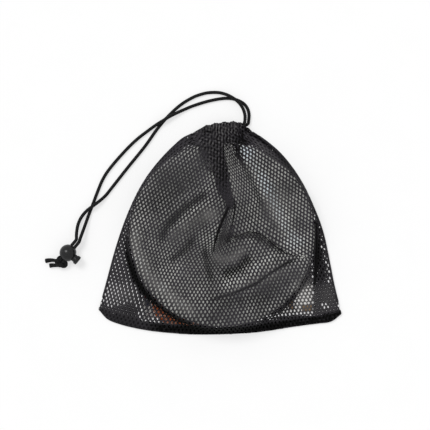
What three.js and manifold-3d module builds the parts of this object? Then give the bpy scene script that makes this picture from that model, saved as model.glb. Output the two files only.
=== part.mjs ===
// A pop-up roundnet set, packed: two coiled hoops with their skirt and rebound net, a flattened
// ball and a leaflet, inside a mesh drawstring bag whose two cord ends run through a ball cord
// lock to a knot. The bag lies on its back panel.
// Millimetres. +X is across the bag, +Y points to its drawn neck, +Z is up from the floor.
// The origin is on the floor under the middle of the bag.

import * as THREE from 'three';
import Module from 'manifold-3d';
import { mergeVertices } from 'three/addons/utils/BufferGeometryUtils.js';

const wasm = await Module();
wasm.setup();

// ---------------------------------------------------------------- driving dimensions

const GAP = 0.3; // room between pieces that touch on the real set
const FLOOR_ROOM = 0.15; // under the lock and the neck, which only just touch the floor

// Bag: the three edges of the flat bag, as it lies, from the neck round to the neck.
const LEFT_EDGE = [
  [-16, 98.3], [-25, 96.2], [-38, 90], [-59, 70], [-77, 46], [-92, 16],
  [-104, -18], [-114, -55], [-120, -77], [-121.8, -81.5],
];
const BOTTOM_EDGE = [
  [-121.8, -81.5], [-119, -86.5], [-106, -94.5], [-76, -102], [-37, -106.2],
  [0, -106.7], [38, -104.3], [80, -98], [109, -94], [119.5, -90.5], [121.8, -86],
];
const RIGHT_EDGE = [
  [121.8, -86], [120.4, -81], [114.7, -58], [109.5, -31], [103.3, -3], [93.5, 23],
  [80, 50], [62, 74], [42, 91], [30, 97.8],
];
const HEM_TOP = [
  [-118, -80.4], [-104, -86.5], [-76, -94], [-37, -98.2], [0, -98.8],
  [38, -96.5], [80, -89.5], [104, -86], [118.4, -82.6],
];
const EDGE_STEPS = 19; // samples of each edge
const PANEL_THICKNESS = 0.7; // mesh fabric, with the loft of its knitted yarns
const PANEL_ROOM = 0.5; // between the front panel and the folds that it lies on
const RIM_DROP = 1.4; // how much lower the front panel is at the rim than over the hoops
const PANEL_LEAN = 0.7; // share of its thickness that the panel turns inwards where it falls
const SEAM_WIDTH = 3;
const SEAM_THICKNESS = 1.6; // two panels and their turned allowance
const SEAM_END_ROOM = 1; // below the neck
const HEM_THICKNESS = 1.7;

// Neck: a channel folded round the mouth, drawn shut, so that it doubles back on itself.
const CHANNEL_Y = 102.5;
const CHANNEL_LEFT = -10.6; // centre of its turn
const CHANNEL_RIGHT = 21.5; // where both cord ends come out
const CHANNEL_HALF_WIDTH = 4;
const CHANNEL_WALL = 0.45; // two layers, gathered
const CHANNEL_ROOM = 0.5; // between the cord and the channel
const PLEAT_PITCH = 5.4;
const PLEAT_DEPTH = 0.35;
const NECK_LIFT = 6; // how far the gathered mesh stands up below the channel
const NECK_LIFT_REACH = 24;

// Draw cord.
const CORD_RADIUS = 1.65;
const CORD_SIDES = 8;
// How the cord bends out of the channel's two open ends, measured from each of them.
const FRONT_BEND = [[3.3, 4.5, -1.25], [2.8, 2.2, -0.7], [1.4, 0.5, -0.2]];
const BACK_BEND = [[4.5, 0.4, -0.1], [6.6, 2, -0.3], [7.1, 4.5, -0.35]];
const RUN_STEPS = 39;
const CHANNEL_CORD_STEPS = 44;

// Cord lock: a ball with a sprung plunger; both cords pass through it side by side.
const LOCK_RADIUS = 8.5;
const LOCK_CENTRE = new THREE.Vector3(-151.6, -24.8, LOCK_RADIUS + FLOOR_ROOM);
const CORD_DIRECTION = new THREE.Vector3(0.622, 0.783, 0).normalize(); // back up the cords
const CORD_PAIR_GAP = 0.3;
const LOCK_ROOM = 0.3; // round the cords and round the plunger
const PLUNGER_TRAVEL = 1.8;
const PLUNGER_RADIUS = 3.8;
const PLUNGER_FLOOR = 0.75; // wall between the cords and the spring
const LOCK_MOUTH = 7; // flat round the plunger, from the ball's centre
const HEAD_START = 9.85;
const HEAD_LENGTH = 3.5;
const HEAD_RADIUS = 4.7;
const POCKET_RADIUS = 2.7;
const POCKET_END = 7.5; // floor of the spring's pocket, from the ball's centre
const SPRING_RADIUS = 2.1;
const SPRING_WIRE_RADIUS = 0.2;
const SPRING_TURNS = 2.25;
const STRAIGHT_CORD = 15.5; // the lock can slide along this much of the cords, from its centre

// Knot beyond the lock, and the two cut tails.
const KNOT_CENTRE = new THREE.Vector3(-158.4, -34, 4.6);
const KNOT_HALF_SIZE = [3.4, 4.6, 6]; // along the cords, up, across them
const KNOT_REACH = 2; // how far past the lock the cords run before they enter the knot
const KNOT_FALL = 0.25; // and how far they come down on the way

// Folded pack: a disc of two hoops, each coiled in three.
const PACK_RADIUS = 92;
const PACK_CENTRE = new THREE.Vector2(2, -7);
const SLEEVE_RADIUS = 2; // fabric tube round a hoop
const SLEEVE_BORE = 1.55;
const WIRE_RADIUS = 1.1; // spring steel
const COIL_SPREAD = 2.6; // each pass of a hoop lies this far from the middle of its three
const COIL_PASSES = 3;
const COIL_STEPS = 24; // per pass
const COIL_SIDES = 6;
const WIRE_END_GAP = 0.6; // between the wire's ends, inside the ferrule
const FERRULE_LENGTH = 20;
const CLOTH_THICKNESS = 0.6;
const SKIRT_DIP = 2.4; // how far the skirt's top fold sinks inside the hoops
const NET_ROOM = 2.5; // between the folded net and the bore of the coiled hoops
const NET_THICKNESS = 12.4; // folded, it fills the room between the skirt's two folds
const NET_TAPER = 0.15; // 1 would bring its edge to nothing

// Ball, let down and pressed flat; it props up one side of the pack.
const BALL_CENTRE = new THREE.Vector2(-26.5, -57);
const BALL_HALF_SIZE = [42, 40];
const BALL_THICKNESS = 4;
const BALL_SQUARENESS = 4; // 2 would be an ellipse
const VALVE_RADIUS = 2.8;
const VALVE_DEPTH = 2.2;
const PACK_PROP_REACH = 72; // from the pack's centre to where the ball first carries it

// Leaflet.
const LEAFLET_SIZE = [169.6, 84, 0.3];
const LEAFLET_CENTRE = [6.5, -45];
const LEAFLET_TURN = THREE.MathUtils.degToRad(2.4);

// ---------------------------------------------------------------- heights, from the floor up

const contentsFloor = PANEL_THICKNESS + GAP;
const ballFloor = contentsFloor + LEAFLET_SIZE[2] + GAP;
const ballTop = ballFloor + BALL_THICKNESS;
const hoopHalfHeight = COIL_SPREAD + SLEEVE_RADIUS;
const lowerHoopHeight = hoopHalfHeight;
const upperHoopHeight = lowerHoopHeight + 2 * hoopHalfHeight + GAP;
const hoopsTop = upperHoopHeight + hoopHalfHeight;
const packTop = hoopsTop + GAP + CLOTH_THICKNESS;
const coilRadius = PACK_RADIUS - hoopHalfHeight;
const packBore = coilRadius - hoopHalfHeight - GAP;
const netRadius = packBore - NET_ROOM;
const bottomFoldHeight = SLEEVE_RADIUS;
const packSlope = (ballTop + GAP - contentsFloor) / (PACK_RADIUS + PACK_PROP_REACH);
const ballSide = BALL_CENTRE.clone().sub(PACK_CENTRE).normalize();

// Height of the plane that the pack's lowest points lie in.
function packBase(x, y) {
  const reach = (x - PACK_CENTRE.x) * ballSide.x + (y - PACK_CENTRE.y) * ballSide.y;
  return contentsFloor + packSlope * (PACK_RADIUS + reach);
}

// Top of the skirt's upper fold above that plane: level over the hoops, dipping inside them.
function foldTop(radius) {
  const inside = Math.max(0, 1 - (radius / packBore) ** 2);
  return packTop - SKIRT_DIP * inside;
}

// Radii at which the cloths over the pack are sampled, so that they nest.
const foldRadii = [0.25, 0.5, 0.75, 1].map((share) => share * packBore);
foldRadii.push(coilRadius, coilRadius + SLEEVE_RADIUS + 1);

// ---------------------------------------------------------------- geometry helpers

const point = (x, y, z) => new THREE.Vector3(x, y, z);

function mesh(name, geometry, color, roughness, metalness = 0) {
  const material = new THREE.MeshStandardMaterial({ color, roughness, metalness });
  const result = new THREE.Mesh(geometry, material);
  result.name = name;
  return result;
}

function geometryFrom(positions, indices) {
  const geometry = new THREE.BufferGeometry();
  geometry.setAttribute('position', new THREE.Float32BufferAttribute(positions, 3));
  geometry.setIndex(indices);
  geometry.computeVertexNormals();
  return geometry;
}

function signedVolume(rings, triangles) {
  const points = rings.flat();
  let sum = 0;
  for (let i = 0; i < triangles.length; i += 3) {
    const [a, b, c] = [0, 1, 2].map((k) => points[triangles[i + k]]);
    sum += a.dot(b.clone().cross(c)) / 6;
  }
  return sum;
}

// Skin over a row of rings with equal numbers of points. Its ends are closed by fans to their
// middles, or, when looped is true, the last ring joins the first, as round a pipe's wall.
function skinOver(rings, looped = false) {
  const sides = rings[0].length;
  const triangles = [];
  const spans = looped ? rings.length : rings.length - 1;
  for (let r = 0; r < spans; r += 1) {
    const here = r * sides;
    const next = ((r + 1) % rings.length) * sides;
    for (let k = 0; k < sides; k += 1) {
      const l = (k + 1) % sides;
      triangles.push(here + k, here + l, next + l, here + k, next + l, next + k);
    }
  }
  const all = [...rings];
  if (!looped) {
    const middle = (ring) => ring.reduce((s, p) => s.add(p), point(0, 0, 0)).divideScalar(sides);
    const first = rings.length * sides;
    const last = first - sides;
    all.push([middle(rings[0]), middle(rings[rings.length - 1])]);
    for (let k = 0; k < sides; k += 1) {
      const l = (k + 1) % sides;
      triangles.push(first, l, k, first + 1, last + k, last + l);
    }
  }
  if (signedVolume(all, triangles) < 0) triangles.reverse();
  return geometryFrom(all.flat().flatMap((p) => p.toArray()), triangles);
}

// Wall between an outer and an inner row of rings, open at both ends.
function pipe(outer, inner) {
  return skinOver([...outer, ...[...inner].reverse()], true);
}

function circleShape(radius, sides) {
  const corners = [];
  for (let k = 0; k < sides; k += 1) {
    const angle = (2 * Math.PI * k) / sides;
    corners.push(new THREE.Vector2(radius * Math.cos(angle), radius * Math.sin(angle)));
  }
  return new THREE.Shape(corners);
}

function cordAlong(points, steps) {
  const extrudePath = new THREE.CatmullRomCurve3(points, false, 'centripetal');
  const section = circleShape(CORD_RADIUS, CORD_SIDES);
  return new THREE.ExtrudeGeometry(section, { steps, extrudePath, bevelEnabled: false });
}

function plateOf(corners, floor, thickness) {
  const shape = new THREE.Shape(corners);
  const geometry = new THREE.ExtrudeGeometry(shape, { depth: thickness, bevelEnabled: false });
  return geometry.translate(0, 0, floor);
}

function solidOf(geometry) {
  const bare = geometry.clone();
  bare.deleteAttribute('normal');
  bare.deleteAttribute('uv');
  const merged = mergeVertices(bare, 1e-4);
  const vertProperties = new Float32Array(merged.attributes.position.array);
  const triVerts = new Uint32Array(merged.index.array);
  return new wasm.Manifold(new wasm.Mesh({ numProp: 3, vertProperties, triVerts }));
}

function geometryOf(solid) {
  const result = solid.getMesh();
  return geometryFrom(Array.from(result.vertProperties), Array.from(result.triVerts));
}

// A cylinder along +Z between two heights.
function barBetween(radius, low, high, sides = 24) {
  const geometry = new THREE.CylinderGeometry(radius, radius, high - low, sides);
  return geometry.rotateX(Math.PI / 2).translate(0, 0, (low + high) / 2);
}

// A cylinder of a cord's radius and some room round one straight stretch of it.
function roomRound(from, to, room) {
  const length = from.distanceTo(to);
  const geometry = new THREE.CylinderGeometry(CORD_RADIUS + room, CORD_RADIUS + room, length, 16);
  const direction = to.clone().sub(from).normalize();
  geometry.applyQuaternion(new THREE.Quaternion().setFromUnitVectors(point(0, 1, 0), direction));
  const middle = from.clone().add(to).divideScalar(2);
  return geometry.translate(middle.x, middle.y, middle.z);
}

// ---------------------------------------------------------------- bag

const planar = (list) => list.map(([x, y]) => new THREE.Vector2(x, y));
const sampled = (list) => new THREE.SplineCurve(planar(list)).getSpacedPoints(EDGE_STEPS);
const leftEdge = sampled(LEFT_EDGE);
const bottomEdge = sampled(BOTTOM_EDGE);
const rightEdge = sampled(RIGHT_EDGE);
const mouthEdge = [1, 2, 3, 4].map((k) => rightEdge[EDGE_STEPS].clone().lerp(leftEdge[0], k / 5));
const outline = [...leftEdge, ...bottomEdge.slice(1), ...rightEdge.slice(1), ...mouthEdge];
const seamTop = contentsFloor + SEAM_THICKNESS;
const hemTop = contentsFloor + HEM_THICKNESS;
const panelEdgeHeight = Math.max(seamTop, hemTop) + GAP + PANEL_THICKNESS;

// A strip inside one edge: the seam of the two panels.
function seamBand(edge) {
  const free = edge.filter((p) => p.y > HEM_TOP[0][1] + SEAM_WIDTH && p.y < mouthEdge[0].y - SEAM_END_ROOM);
  const inner = free.map((p) => {
    const inward = PACK_CENTRE.clone().sub(p).normalize();
    return p.clone().addScaledVector(inward, SEAM_WIDTH);
  });
  return plateOf([...free, ...inner.reverse()], contentsFloor, SEAM_THICKNESS);
}

// How the front panel falls from the pack's rim to its edge: steep at first, then flat.
const fall = (share) => (1 - share) ** 1.5;

function edgeHeight(x, y) {
  const across = Math.exp(-(((x - (CHANNEL_LEFT + CHANNEL_RIGHT) / 2) / NECK_LIFT_REACH) ** 2));
  const up = THREE.MathUtils.smoothstep(y, CHANNEL_Y - 2 * NECK_LIFT_REACH, CHANNEL_Y);
  return panelEdgeHeight + NECK_LIFT * across * up;
}

function frontPanel() {
  const clear = PANEL_ROOM + PANEL_THICKNESS;
  const rimRadius = PACK_RADIUS + clear;
  const overEdge = [0, 0.1, 0.22, 0.38, 0.56, 0.76, 1];
  const spokes = outline.map((edge) => edge.clone().sub(PACK_CENTRE).normalize());
  const top = [];
  const under = [];
  for (const radius of foldRadii) {
    const ring = spokes.map((d) => {
      const p = PACK_CENTRE.clone().addScaledVector(d, radius);
      return point(p.x, p.y, packBase(p.x, p.y) + foldTop(radius) + clear);
    });
    top.push(ring);
    under.push(ring.map((p) => point(p.x, p.y, p.z - PANEL_THICKNESS)));
  }
  for (const share of overEdge) {
    const outer = [];
    const inner = [];
    spokes.forEach((d, k) => {
      const rim = PACK_CENTRE.clone().addScaledVector(d, rimRadius);
      const rimHeight = packBase(rim.x, rim.y) + packTop + clear - RIM_DROP;
      const p = rim.lerp(outline[k], share);
      const low = edgeHeight(outline[k].x, outline[k].y);
      const height = low + (rimHeight - low) * fall(share);
      const inset = PANEL_LEAN * PANEL_THICKNESS * Math.min(1, 3 * (1 - share));
      outer.push(point(p.x, p.y, height));
      inner.push(point(p.x - d.x * inset, p.y - d.y * inset, height - PANEL_THICKNESS));
    });
    top.push(outer);
    under.push(inner);
  }
  return skinOver([...top, ...under.reverse()]);
}

// Stations along the doubled channel: each has a centre, and the way out of the bend.
const channelRise = CORD_RADIUS + CHANNEL_ROOM + CHANNEL_WALL; // half its thickness
const turnRadius = channelRise + GAP / 2;
const lowerLegHeight = channelRise + FLOOR_ROOM;
const upperLegHeight = lowerLegHeight + 2 * turnRadius;

function channelStations() {
  const stations = [];
  const legSteps = 8;
  const turnSteps = 6;
  const legLength = CHANNEL_RIGHT - CHANNEL_LEFT;
  for (let i = 0; i < legSteps; i += 1) {
    const x = CHANNEL_RIGHT - (legLength * i) / legSteps;
    stations.push({ centre: point(x, CHANNEL_Y, upperLegHeight), out: point(0, 0, 1) });
  }
  for (let i = 0; i <= turnSteps; i += 1) {
    const angle = (Math.PI * i) / turnSteps;
    const out = point(-Math.sin(angle), 0, Math.cos(angle));
    const middle = point(CHANNEL_LEFT, CHANNEL_Y, (upperLegHeight + lowerLegHeight) / 2);
    stations.push({ centre: middle.addScaledVector(out, turnRadius), out });
  }
  for (let i = 1; i <= legSteps; i += 1) {
    const x = CHANNEL_LEFT + (legLength * i) / legSteps;
    stations.push({ centre: point(x, CHANNEL_Y, lowerLegHeight), out: point(0, 0, -1) });
  }
  return stations;
}

function neckChannel() {
  const sides = 10;
  const ringAt = ({ centre, out }, halfWidth, rise) => {
    const ring = [];
    for (let k = 0; k < sides; k += 1) {
      const angle = (2 * Math.PI * k) / sides;
      const across = halfWidth * Math.cos(angle);
      ring.push(centre.clone().addScaledVector(out, rise * Math.sin(angle)).add(point(0, across, 0)));
    }
    return ring;
  };
  const stations = channelStations();
  const pleat = (x) => PLEAT_DEPTH * Math.cos((2 * Math.PI * (x - CHANNEL_LEFT)) / PLEAT_PITCH);
  const outer = stations.map((s) => ringAt(s, CHANNEL_HALF_WIDTH + pleat(s.centre.x), channelRise));
  const bore = CORD_RADIUS + CHANNEL_ROOM;
  const inner = stations.map((s) => ringAt(s, bore, bore));
  return pipe(outer, inner);
}

// ---------------------------------------------------------------- draw cord

// The hidden part of the cord: in at the front exit, round the neck, out at the back exit.
function channelCord() {
  const legs = channelStations().map((s) => s.centre);
  const bendFrom = (leg, bend) => bend.map(([x, y, z]) => leg.clone().add(point(x, y, z)));
  const front = bendFrom(legs[0], FRONT_BEND);
  const back = bendFrom(legs[legs.length - 1], BACK_BEND);
  return cordAlong([...front, ...legs, ...back], CHANNEL_CORD_STEPS);
}

const plungerAxis = CORD_DIRECTION.clone().cross(point(0, 0, 1)).normalize();
const cordOffset = CORD_RADIUS + CORD_PAIR_GAP / 2;

// A point given in the lock's own directions: along the cords, up, and along the plunger.
function atLock(along, up, out) {
  const p = LOCK_CENTRE.clone().addScaledVector(CORD_DIRECTION, along);
  return p.addScaledVector(plungerAxis, out).add(point(0, 0, up));
}

const lockEnd = -LOCK_RADIUS;
function throughLock(side) {
  const out = side * cordOffset;
  const straight = [STRAIGHT_CORD, 10, 5, 0, -4, lockEnd].map((along) => atLock(along, 0, out));
  return [...straight, atLock(lockEnd - KNOT_REACH, -KNOT_FALL, out)];
}

// The cord's two free runs, by hand from exit to lock: x, y, and the height of the centre line.
const RUN_1 = [
  [24.9, 107.45, 6.9], [24.9, 112.5, 6], [23, 119, 5.5], [19.4, 124.6, 5.4], [15, 128.5, 5.3],
  [8, 132.6, 4.4], [0.5, 135, 2.4], [-6, 135.5, 1.65], [-13, 135, 1.65], [-19.5, 133.4, 1.65],
  [-26, 131, 1.65], [-38, 124, 1.65], [-50, 113.5, 1.65], [-61.5, 100.5, 1.65],
  [-74.8, 81.9, 1.65], [-93, 59.4, 1.65], [-108.4, 39.8, 1.65], [-114.4, 32.4, 2],
  [-120.3, 27, 4], [-127.4, 21.6, 5.3], [-133.7, 16.6, 3.9], [-138.6, 10.6, 3], [-141.6, 4, 4],
  [-142.9, -3, 6.6], [-143.2, -7.6, 8.2],
];
const RUN_2 = [
  [28.65, 107.45, 2.35], [29, 113, 1.75], [27.8, 118.5, 1.65], [24.5, 123.5, 1.65],
  [19, 127.1, 1.65], [12, 129.2, 1.65], [4, 129.5, 1.65], [-11, 126.9, 1.65], [-27, 122, 1.65],
  [-35, 118.7, 2], [-43, 115, 3.7], [-50, 111.5, 5.2], [-56.5, 107.5, 5.3], [-64, 102.8, 4.2],
  [-72.4, 96.8, 2], [-81.8, 89.6, 1.65], [-93, 79, 1.65], [-111.2, 58, 1.65],
  [-117.3, 48.2, 1.65], [-122.6, 35.6, 1.65], [-126.8, 24.4, 1.65], [-130.6, 14.5, 2],
  [-134, 5, 3.6], [-137.4, -4.8, 6.5], [-139.4, -10.4, 8.2],
];
const TAIL_A = [[-164.6, -32.4, 4.2], [-167.5, -32.1, 2.8], [-171, -32.3, 1.75], [-174.4, -32.9, 1.65]];
const TAIL_B = [[-162.9, -37.4, 3.6], [-165, -37.3, 2.4], [-167.6, -37.3, 1.7], [-170.2, -37.7, 1.65]];
const TAIL_STEPS = 5;
const KNOT_GRIP = 2.5; // how deep the tails' sockets go into the knot

const hand = (list) => list.map(([x, y, z]) => point(x, y, z));

function knot() {
  const lump = new THREE.SphereGeometry(1, 18, 12);
  lump.scale(...KNOT_HALF_SIZE);
  lump.applyMatrix4(new THREE.Matrix4().makeBasis(CORD_DIRECTION, point(0, 0, 1), plungerAxis));
  lump.translate(KNOT_CENTRE.x, KNOT_CENTRE.y, KNOT_CENTRE.z);
  let solid = solidOf(lump);
  const ball = new THREE.SphereGeometry(LOCK_RADIUS + GAP, 24, 16);
  solid = solid.subtract(solidOf(ball.translate(LOCK_CENTRE.x, LOCK_CENTRE.y, LOCK_CENTRE.z)));
  for (const side of [-1, 1]) {
    const [mouth, end] = throughLock(side).slice(-2);
    const onward = end.clone().sub(mouth).normalize();
    const socket = roomRound(mouth, end.clone().addScaledVector(onward, GAP), GAP);
    solid = solid.subtract(solidOf(socket));
  }
  for (const tail of [hand(TAIL_A), hand(TAIL_B)]) {
    const inward = tail[0].clone().sub(tail[1]).normalize();
    const start = tail[0].clone().addScaledVector(inward, GAP);
    const socket = roomRound(start, start.clone().addScaledVector(inward, -KNOT_GRIP * 2), GAP);
    solid = solid.subtract(solidOf(socket));
  }
  return geometryOf(solid);
}

// ---------------------------------------------------------------- cord lock
// Modelled with +X along the cords, +Y up and +Z along the plunger, then turned into place.

const cordsHalfWidth = cordOffset + CORD_RADIUS + LOCK_ROOM;
const cordsHalfHeight = CORD_RADIUS + LOCK_ROOM;
const plungerEnd = -cordsHalfWidth - PLUNGER_FLOOR;

// The slot for both cords; extra lengthens it along the plunger.
function cordSlot(extra) {
  const width = 2 * cordsHalfWidth + extra;
  const box = new THREE.BoxGeometry(4 * LOCK_RADIUS, 2 * cordsHalfHeight, width);
  return box.translate(0, 0, extra / 2);
}

function lockBody() {
  const ball = solidOf(new THREE.SphereGeometry(LOCK_RADIUS, 28, 18));
  const beyond = 2 * LOCK_RADIUS;
  const mouth = new THREE.BoxGeometry(beyond, beyond, beyond).translate(0, 0, LOCK_MOUTH + LOCK_RADIUS);
  const bore = barBetween(PLUNGER_RADIUS + LOCK_ROOM, plungerEnd - PLUNGER_TRAVEL - LOCK_ROOM, beyond);
  const pocket = barBetween(POCKET_RADIUS, -POCKET_END, 0, 16);
  const cut = solidOf(mouth).add(solidOf(bore)).add(solidOf(pocket)).add(solidOf(cordSlot(0)));
  return geometryOf(ball.subtract(cut));
}

function lockPlunger() {
  const headEnd = HEAD_START + HEAD_LENGTH;
  const profile = [
    [0, plungerEnd], [PLUNGER_RADIUS, plungerEnd], [PLUNGER_RADIUS, HEAD_START],
    [HEAD_RADIUS - 0.6, HEAD_START], [HEAD_RADIUS, HEAD_START + 0.6],
    [HEAD_RADIUS, headEnd - 1], [HEAD_RADIUS - 0.8, headEnd - 0.2], [HEAD_RADIUS / 2, headEnd],
    [0, headEnd],
  ];
  const turned = new THREE.LatheGeometry(profile.map(([r, z]) => new THREE.Vector2(r, z)), 24);
  turned.rotateX(Math.PI / 2);
  return geometryOf(solidOf(turned).subtract(solidOf(cordSlot(PLUNGER_TRAVEL))));
}

function lockSpring() {
  const steps = Math.round(SPRING_TURNS * 8);
  const low = -POCKET_END + GAP + SPRING_WIRE_RADIUS;
  const high = plungerEnd - GAP - SPRING_WIRE_RADIUS;
  const rings = [];
  for (let i = 0; i <= steps; i += 1) {
    const turn = (2 * Math.PI * SPRING_TURNS * i) / steps;
    const height = low + ((high - low) * i) / steps;
    const ring = [];
    for (let k = 0; k < 5; k += 1) {
      const angle = (2 * Math.PI * k) / 5;
      const radius = SPRING_RADIUS + SPRING_WIRE_RADIUS * Math.cos(angle);
      const z = height + SPRING_WIRE_RADIUS * Math.sin(angle);
      ring.push(point(radius * Math.cos(turn), radius * Math.sin(turn), z));
    }
    rings.push(ring);
  }
  return skinOver(rings);
}

// ---------------------------------------------------------------- folded pack, in its own frame
// Its own origin is the middle of the plane that its lowest points lie in.

// Centre line of a hoop coiled in three. The three passes keep a third of a turn from each other
// round the middle of the coil, so they never touch, and they join into one closed loop.
function coilPoint(step, height) {
  const turn = (2 * Math.PI * step) / COIL_STEPS;
  const round = turn / COIL_PASSES;
  const radius = coilRadius + COIL_SPREAD * Math.cos(round);
  return { turn, radius, z: height + COIL_SPREAD * Math.sin(round) };
}

function coilRing(step, height, ringRadius) {
  const low = Math.floor(step - 0.5) + 0.5;
  const share = step - low;
  const ringAt = (whole) => {
    const { turn, radius, z } = coilPoint(whole, height);
    const ring = [];
    for (let k = 0; k < COIL_SIDES; k += 1) {
      const angle = (2 * Math.PI * k) / COIL_SIDES;
      const r = radius + ringRadius * Math.cos(angle);
      ring.push(point(r * Math.cos(turn), r * Math.sin(turn), z + ringRadius * Math.sin(angle)));
    }
    return ring;
  };
  if (share < 1e-9) return ringAt(low);
  const next = ringAt(low + 1);
  return ringAt(low).map((p, k) => p.lerp(next[k], share));
}

// Rings at every half step, with the two ends where asked. Steps run from 0 to allSteps.
const allSteps = COIL_STEPS * COIL_PASSES;
const stepLength = (2 * Math.PI * coilRadius) / COIL_STEPS;
function coilRings(height, ringRadius, endRoom) {
  const rings = [];
  const first = endRoom / stepLength;
  rings.push(coilRing(first, height, ringRadius));
  for (let step = 0.5; step < allSteps; step += 1) {
    if (step > first + 1e-6 && step < allSteps - first - 1e-6) {
      rings.push(coilRing(step, height, ringRadius));
    }
  }
  rings.push(coilRing(allSteps - first, height, ringRadius));
  return rings;
}

function hoopSleeve(height) {
  const endRoom = FERRULE_LENGTH / 2 + GAP;
  return pipe(coilRings(height, SLEEVE_RADIUS, endRoom), coilRings(height, SLEEVE_BORE, endRoom));
}

function hoopWire(height) {
  return skinOver(coilRings(height, WIRE_RADIUS, WIRE_END_GAP / 2));
}

function hoopFerrule(height) {
  const half = FERRULE_LENGTH / 2 / stepLength;
  const ends = [allSteps - half, half];
  const rings = (radius) => ends.map((step) => coilRing(step, height, radius));
  return pipe(rings(SLEEVE_RADIUS), rings(SLEEVE_BORE));
}

// The least room between two passes of one sleeve, measured on its centre line.
function leastGap() {
  let least = Infinity;
  for (let a = 0; a < allSteps; a += 1) {
    const here = coilPoint(a, 0);
    for (let pass = 1; pass < COIL_PASSES; pass += 1) {
      const there = coilPoint(a + pass * COIL_STEPS, 0);
      least = Math.min(least, Math.hypot(here.radius - there.radius, here.z - there.z));
    }
  }
  return least - 2 * SLEEVE_RADIUS;
}

// A round cloth: its top follows a height for each radius.
function roundCloth(radii, heightAt, thickness, sides = 32) {
  const ringAt = (radius, drop) => {
    const ring = [];
    for (let k = 0; k < sides; k += 1) {
      const angle = (2 * Math.PI * k) / sides;
      ring.push(point(radius * Math.cos(angle), radius * Math.sin(angle), heightAt(radius) - drop));
    }
    return ring;
  };
  const top = radii.map((r) => ringAt(r, 0));
  const under = radii.map((r) => ringAt(r, thickness(r))).reverse();
  return skinOver([...top, ...under]);
}

function skirtTopFold() {
  return roundCloth(foldRadii, foldTop, () => CLOTH_THICKNESS);
}

function reboundNet() {
  const middle = hoopsTop / 2;
  const half = (radius) => (NET_THICKNESS / 2) * Math.sqrt(1 - NET_TAPER * (radius / netRadius) ** 2);
  const radii = [0.4, 0.75, 1].map((s) => s * netRadius);
  return roundCloth(radii, (r) => middle + half(r), (r) => 2 * half(r));
}

function skirtBottomFold() {
  const height = bottomFoldHeight + CLOTH_THICKNESS;
  return roundCloth([0.5 * packBore, packBore], () => height, () => CLOTH_THICKNESS);
}

// ---------------------------------------------------------------- ball and leaflet

function flatBall() {
  const sides = 32;
  const outlinePoint = (angle, share) => {
    const [c, s] = [Math.cos(angle), Math.sin(angle)];
    const power = 2 / BALL_SQUARENESS;
    const x = BALL_HALF_SIZE[0] * Math.sign(c) * Math.abs(c) ** power;
    const y = BALL_HALF_SIZE[1] * Math.sign(s) * Math.abs(s) ** power;
    return [BALL_CENTRE.x + share * x, BALL_CENTRE.y + share * y];
  };
  const ringOf = (place, z) => {
    const ring = [];
    for (let k = 0; k < sides; k += 1) {
      const angle = (2 * Math.PI * (k + 0.5)) / sides;
      const [x, y] = place(angle);
      ring.push(point(x, y, z));
    }
    return ring;
  };
  const socket = VALVE_RADIUS + GAP;
  const inSocket = (a) => [BALL_CENTRE.x + socket * Math.cos(a), BALL_CENTRE.y + socket * Math.sin(a)];
  const rings = [ringOf(inSocket, ballTop - VALVE_DEPTH), ringOf(inSocket, ballTop)];
  for (const [share, rise] of [[0.6, 1], [0.9, 0.97], [0.97, 0.82], [1, 0.5], [0.97, 0.18], [0.9, 0]]) {
    rings.push(ringOf((a) => outlinePoint(a, share), ballFloor + rise * BALL_THICKNESS));
  }
  return skinOver(rings);
}

function ballValve() {
  const low = ballTop - VALVE_DEPTH + GAP;
  const high = ballTop + GAP;
  const needle = 0.6;
  const profile = [
    [0, low], [VALVE_RADIUS, low], [VALVE_RADIUS, high - 0.2], [VALVE_RADIUS - 0.4, high],
    [needle, high], [needle, high - 1.2], [0, high - 1.2],
  ];
  const turned = new THREE.LatheGeometry(profile.map(([r, z]) => new THREE.Vector2(r, z)), 16);
  return turned.rotateX(Math.PI / 2).translate(BALL_CENTRE.x, BALL_CENTRE.y, 0);
}

// ---------------------------------------------------------------- assembly

const BLACK_MESH = 0x2b2a2e;
const BLACK_CORD = 0x232427;
const GREY_NYLON = 0x8f9498;
const STEEL = 0x9a9ca0;

const bag = new THREE.Group();
bag.add(mesh('bag_front_panel', frontPanel(), BLACK_MESH, 0.85));
bag.add(mesh('bag_back_panel', plateOf(outline, 0, PANEL_THICKNESS), BLACK_MESH, 0.85));
bag.add(mesh('bag_left_seam', seamBand(leftEdge), BLACK_MESH, 0.85));
bag.add(mesh('bag_right_seam', seamBand(rightEdge), BLACK_MESH, 0.85));
const hemCorners = [...bottomEdge.slice(1, -1), ...planar(HEM_TOP).reverse()];
bag.add(mesh('bag_bottom_hem', plateOf(hemCorners, contentsFloor, HEM_THICKNESS), BLACK_MESH, 0.85));
bag.add(mesh('neck_channel', neckChannel(), BLACK_MESH, 0.85));

const cord = new THREE.Group();
cord.add(mesh('channel_drawcord', channelCord(), BLACK_CORD, 0.8));
const run1 = [...hand(RUN_1), ...throughLock(-1)];
const run2 = [...hand(RUN_2), ...throughLock(1)];
cord.add(mesh('drawcord_run_1', cordAlong(run1, RUN_STEPS), BLACK_CORD, 0.8));
cord.add(mesh('drawcord_run_2', cordAlong(run2, RUN_STEPS), BLACK_CORD, 0.8));
cord.add(mesh('drawcord_knot', knot(), BLACK_CORD, 0.8));
cord.add(mesh('drawcord_tail_a', cordAlong(hand(TAIL_A), TAIL_STEPS), BLACK_CORD, 0.8));
cord.add(mesh('drawcord_tail_b', cordAlong(hand(TAIL_B), TAIL_STEPS), BLACK_CORD, 0.8));

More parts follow.
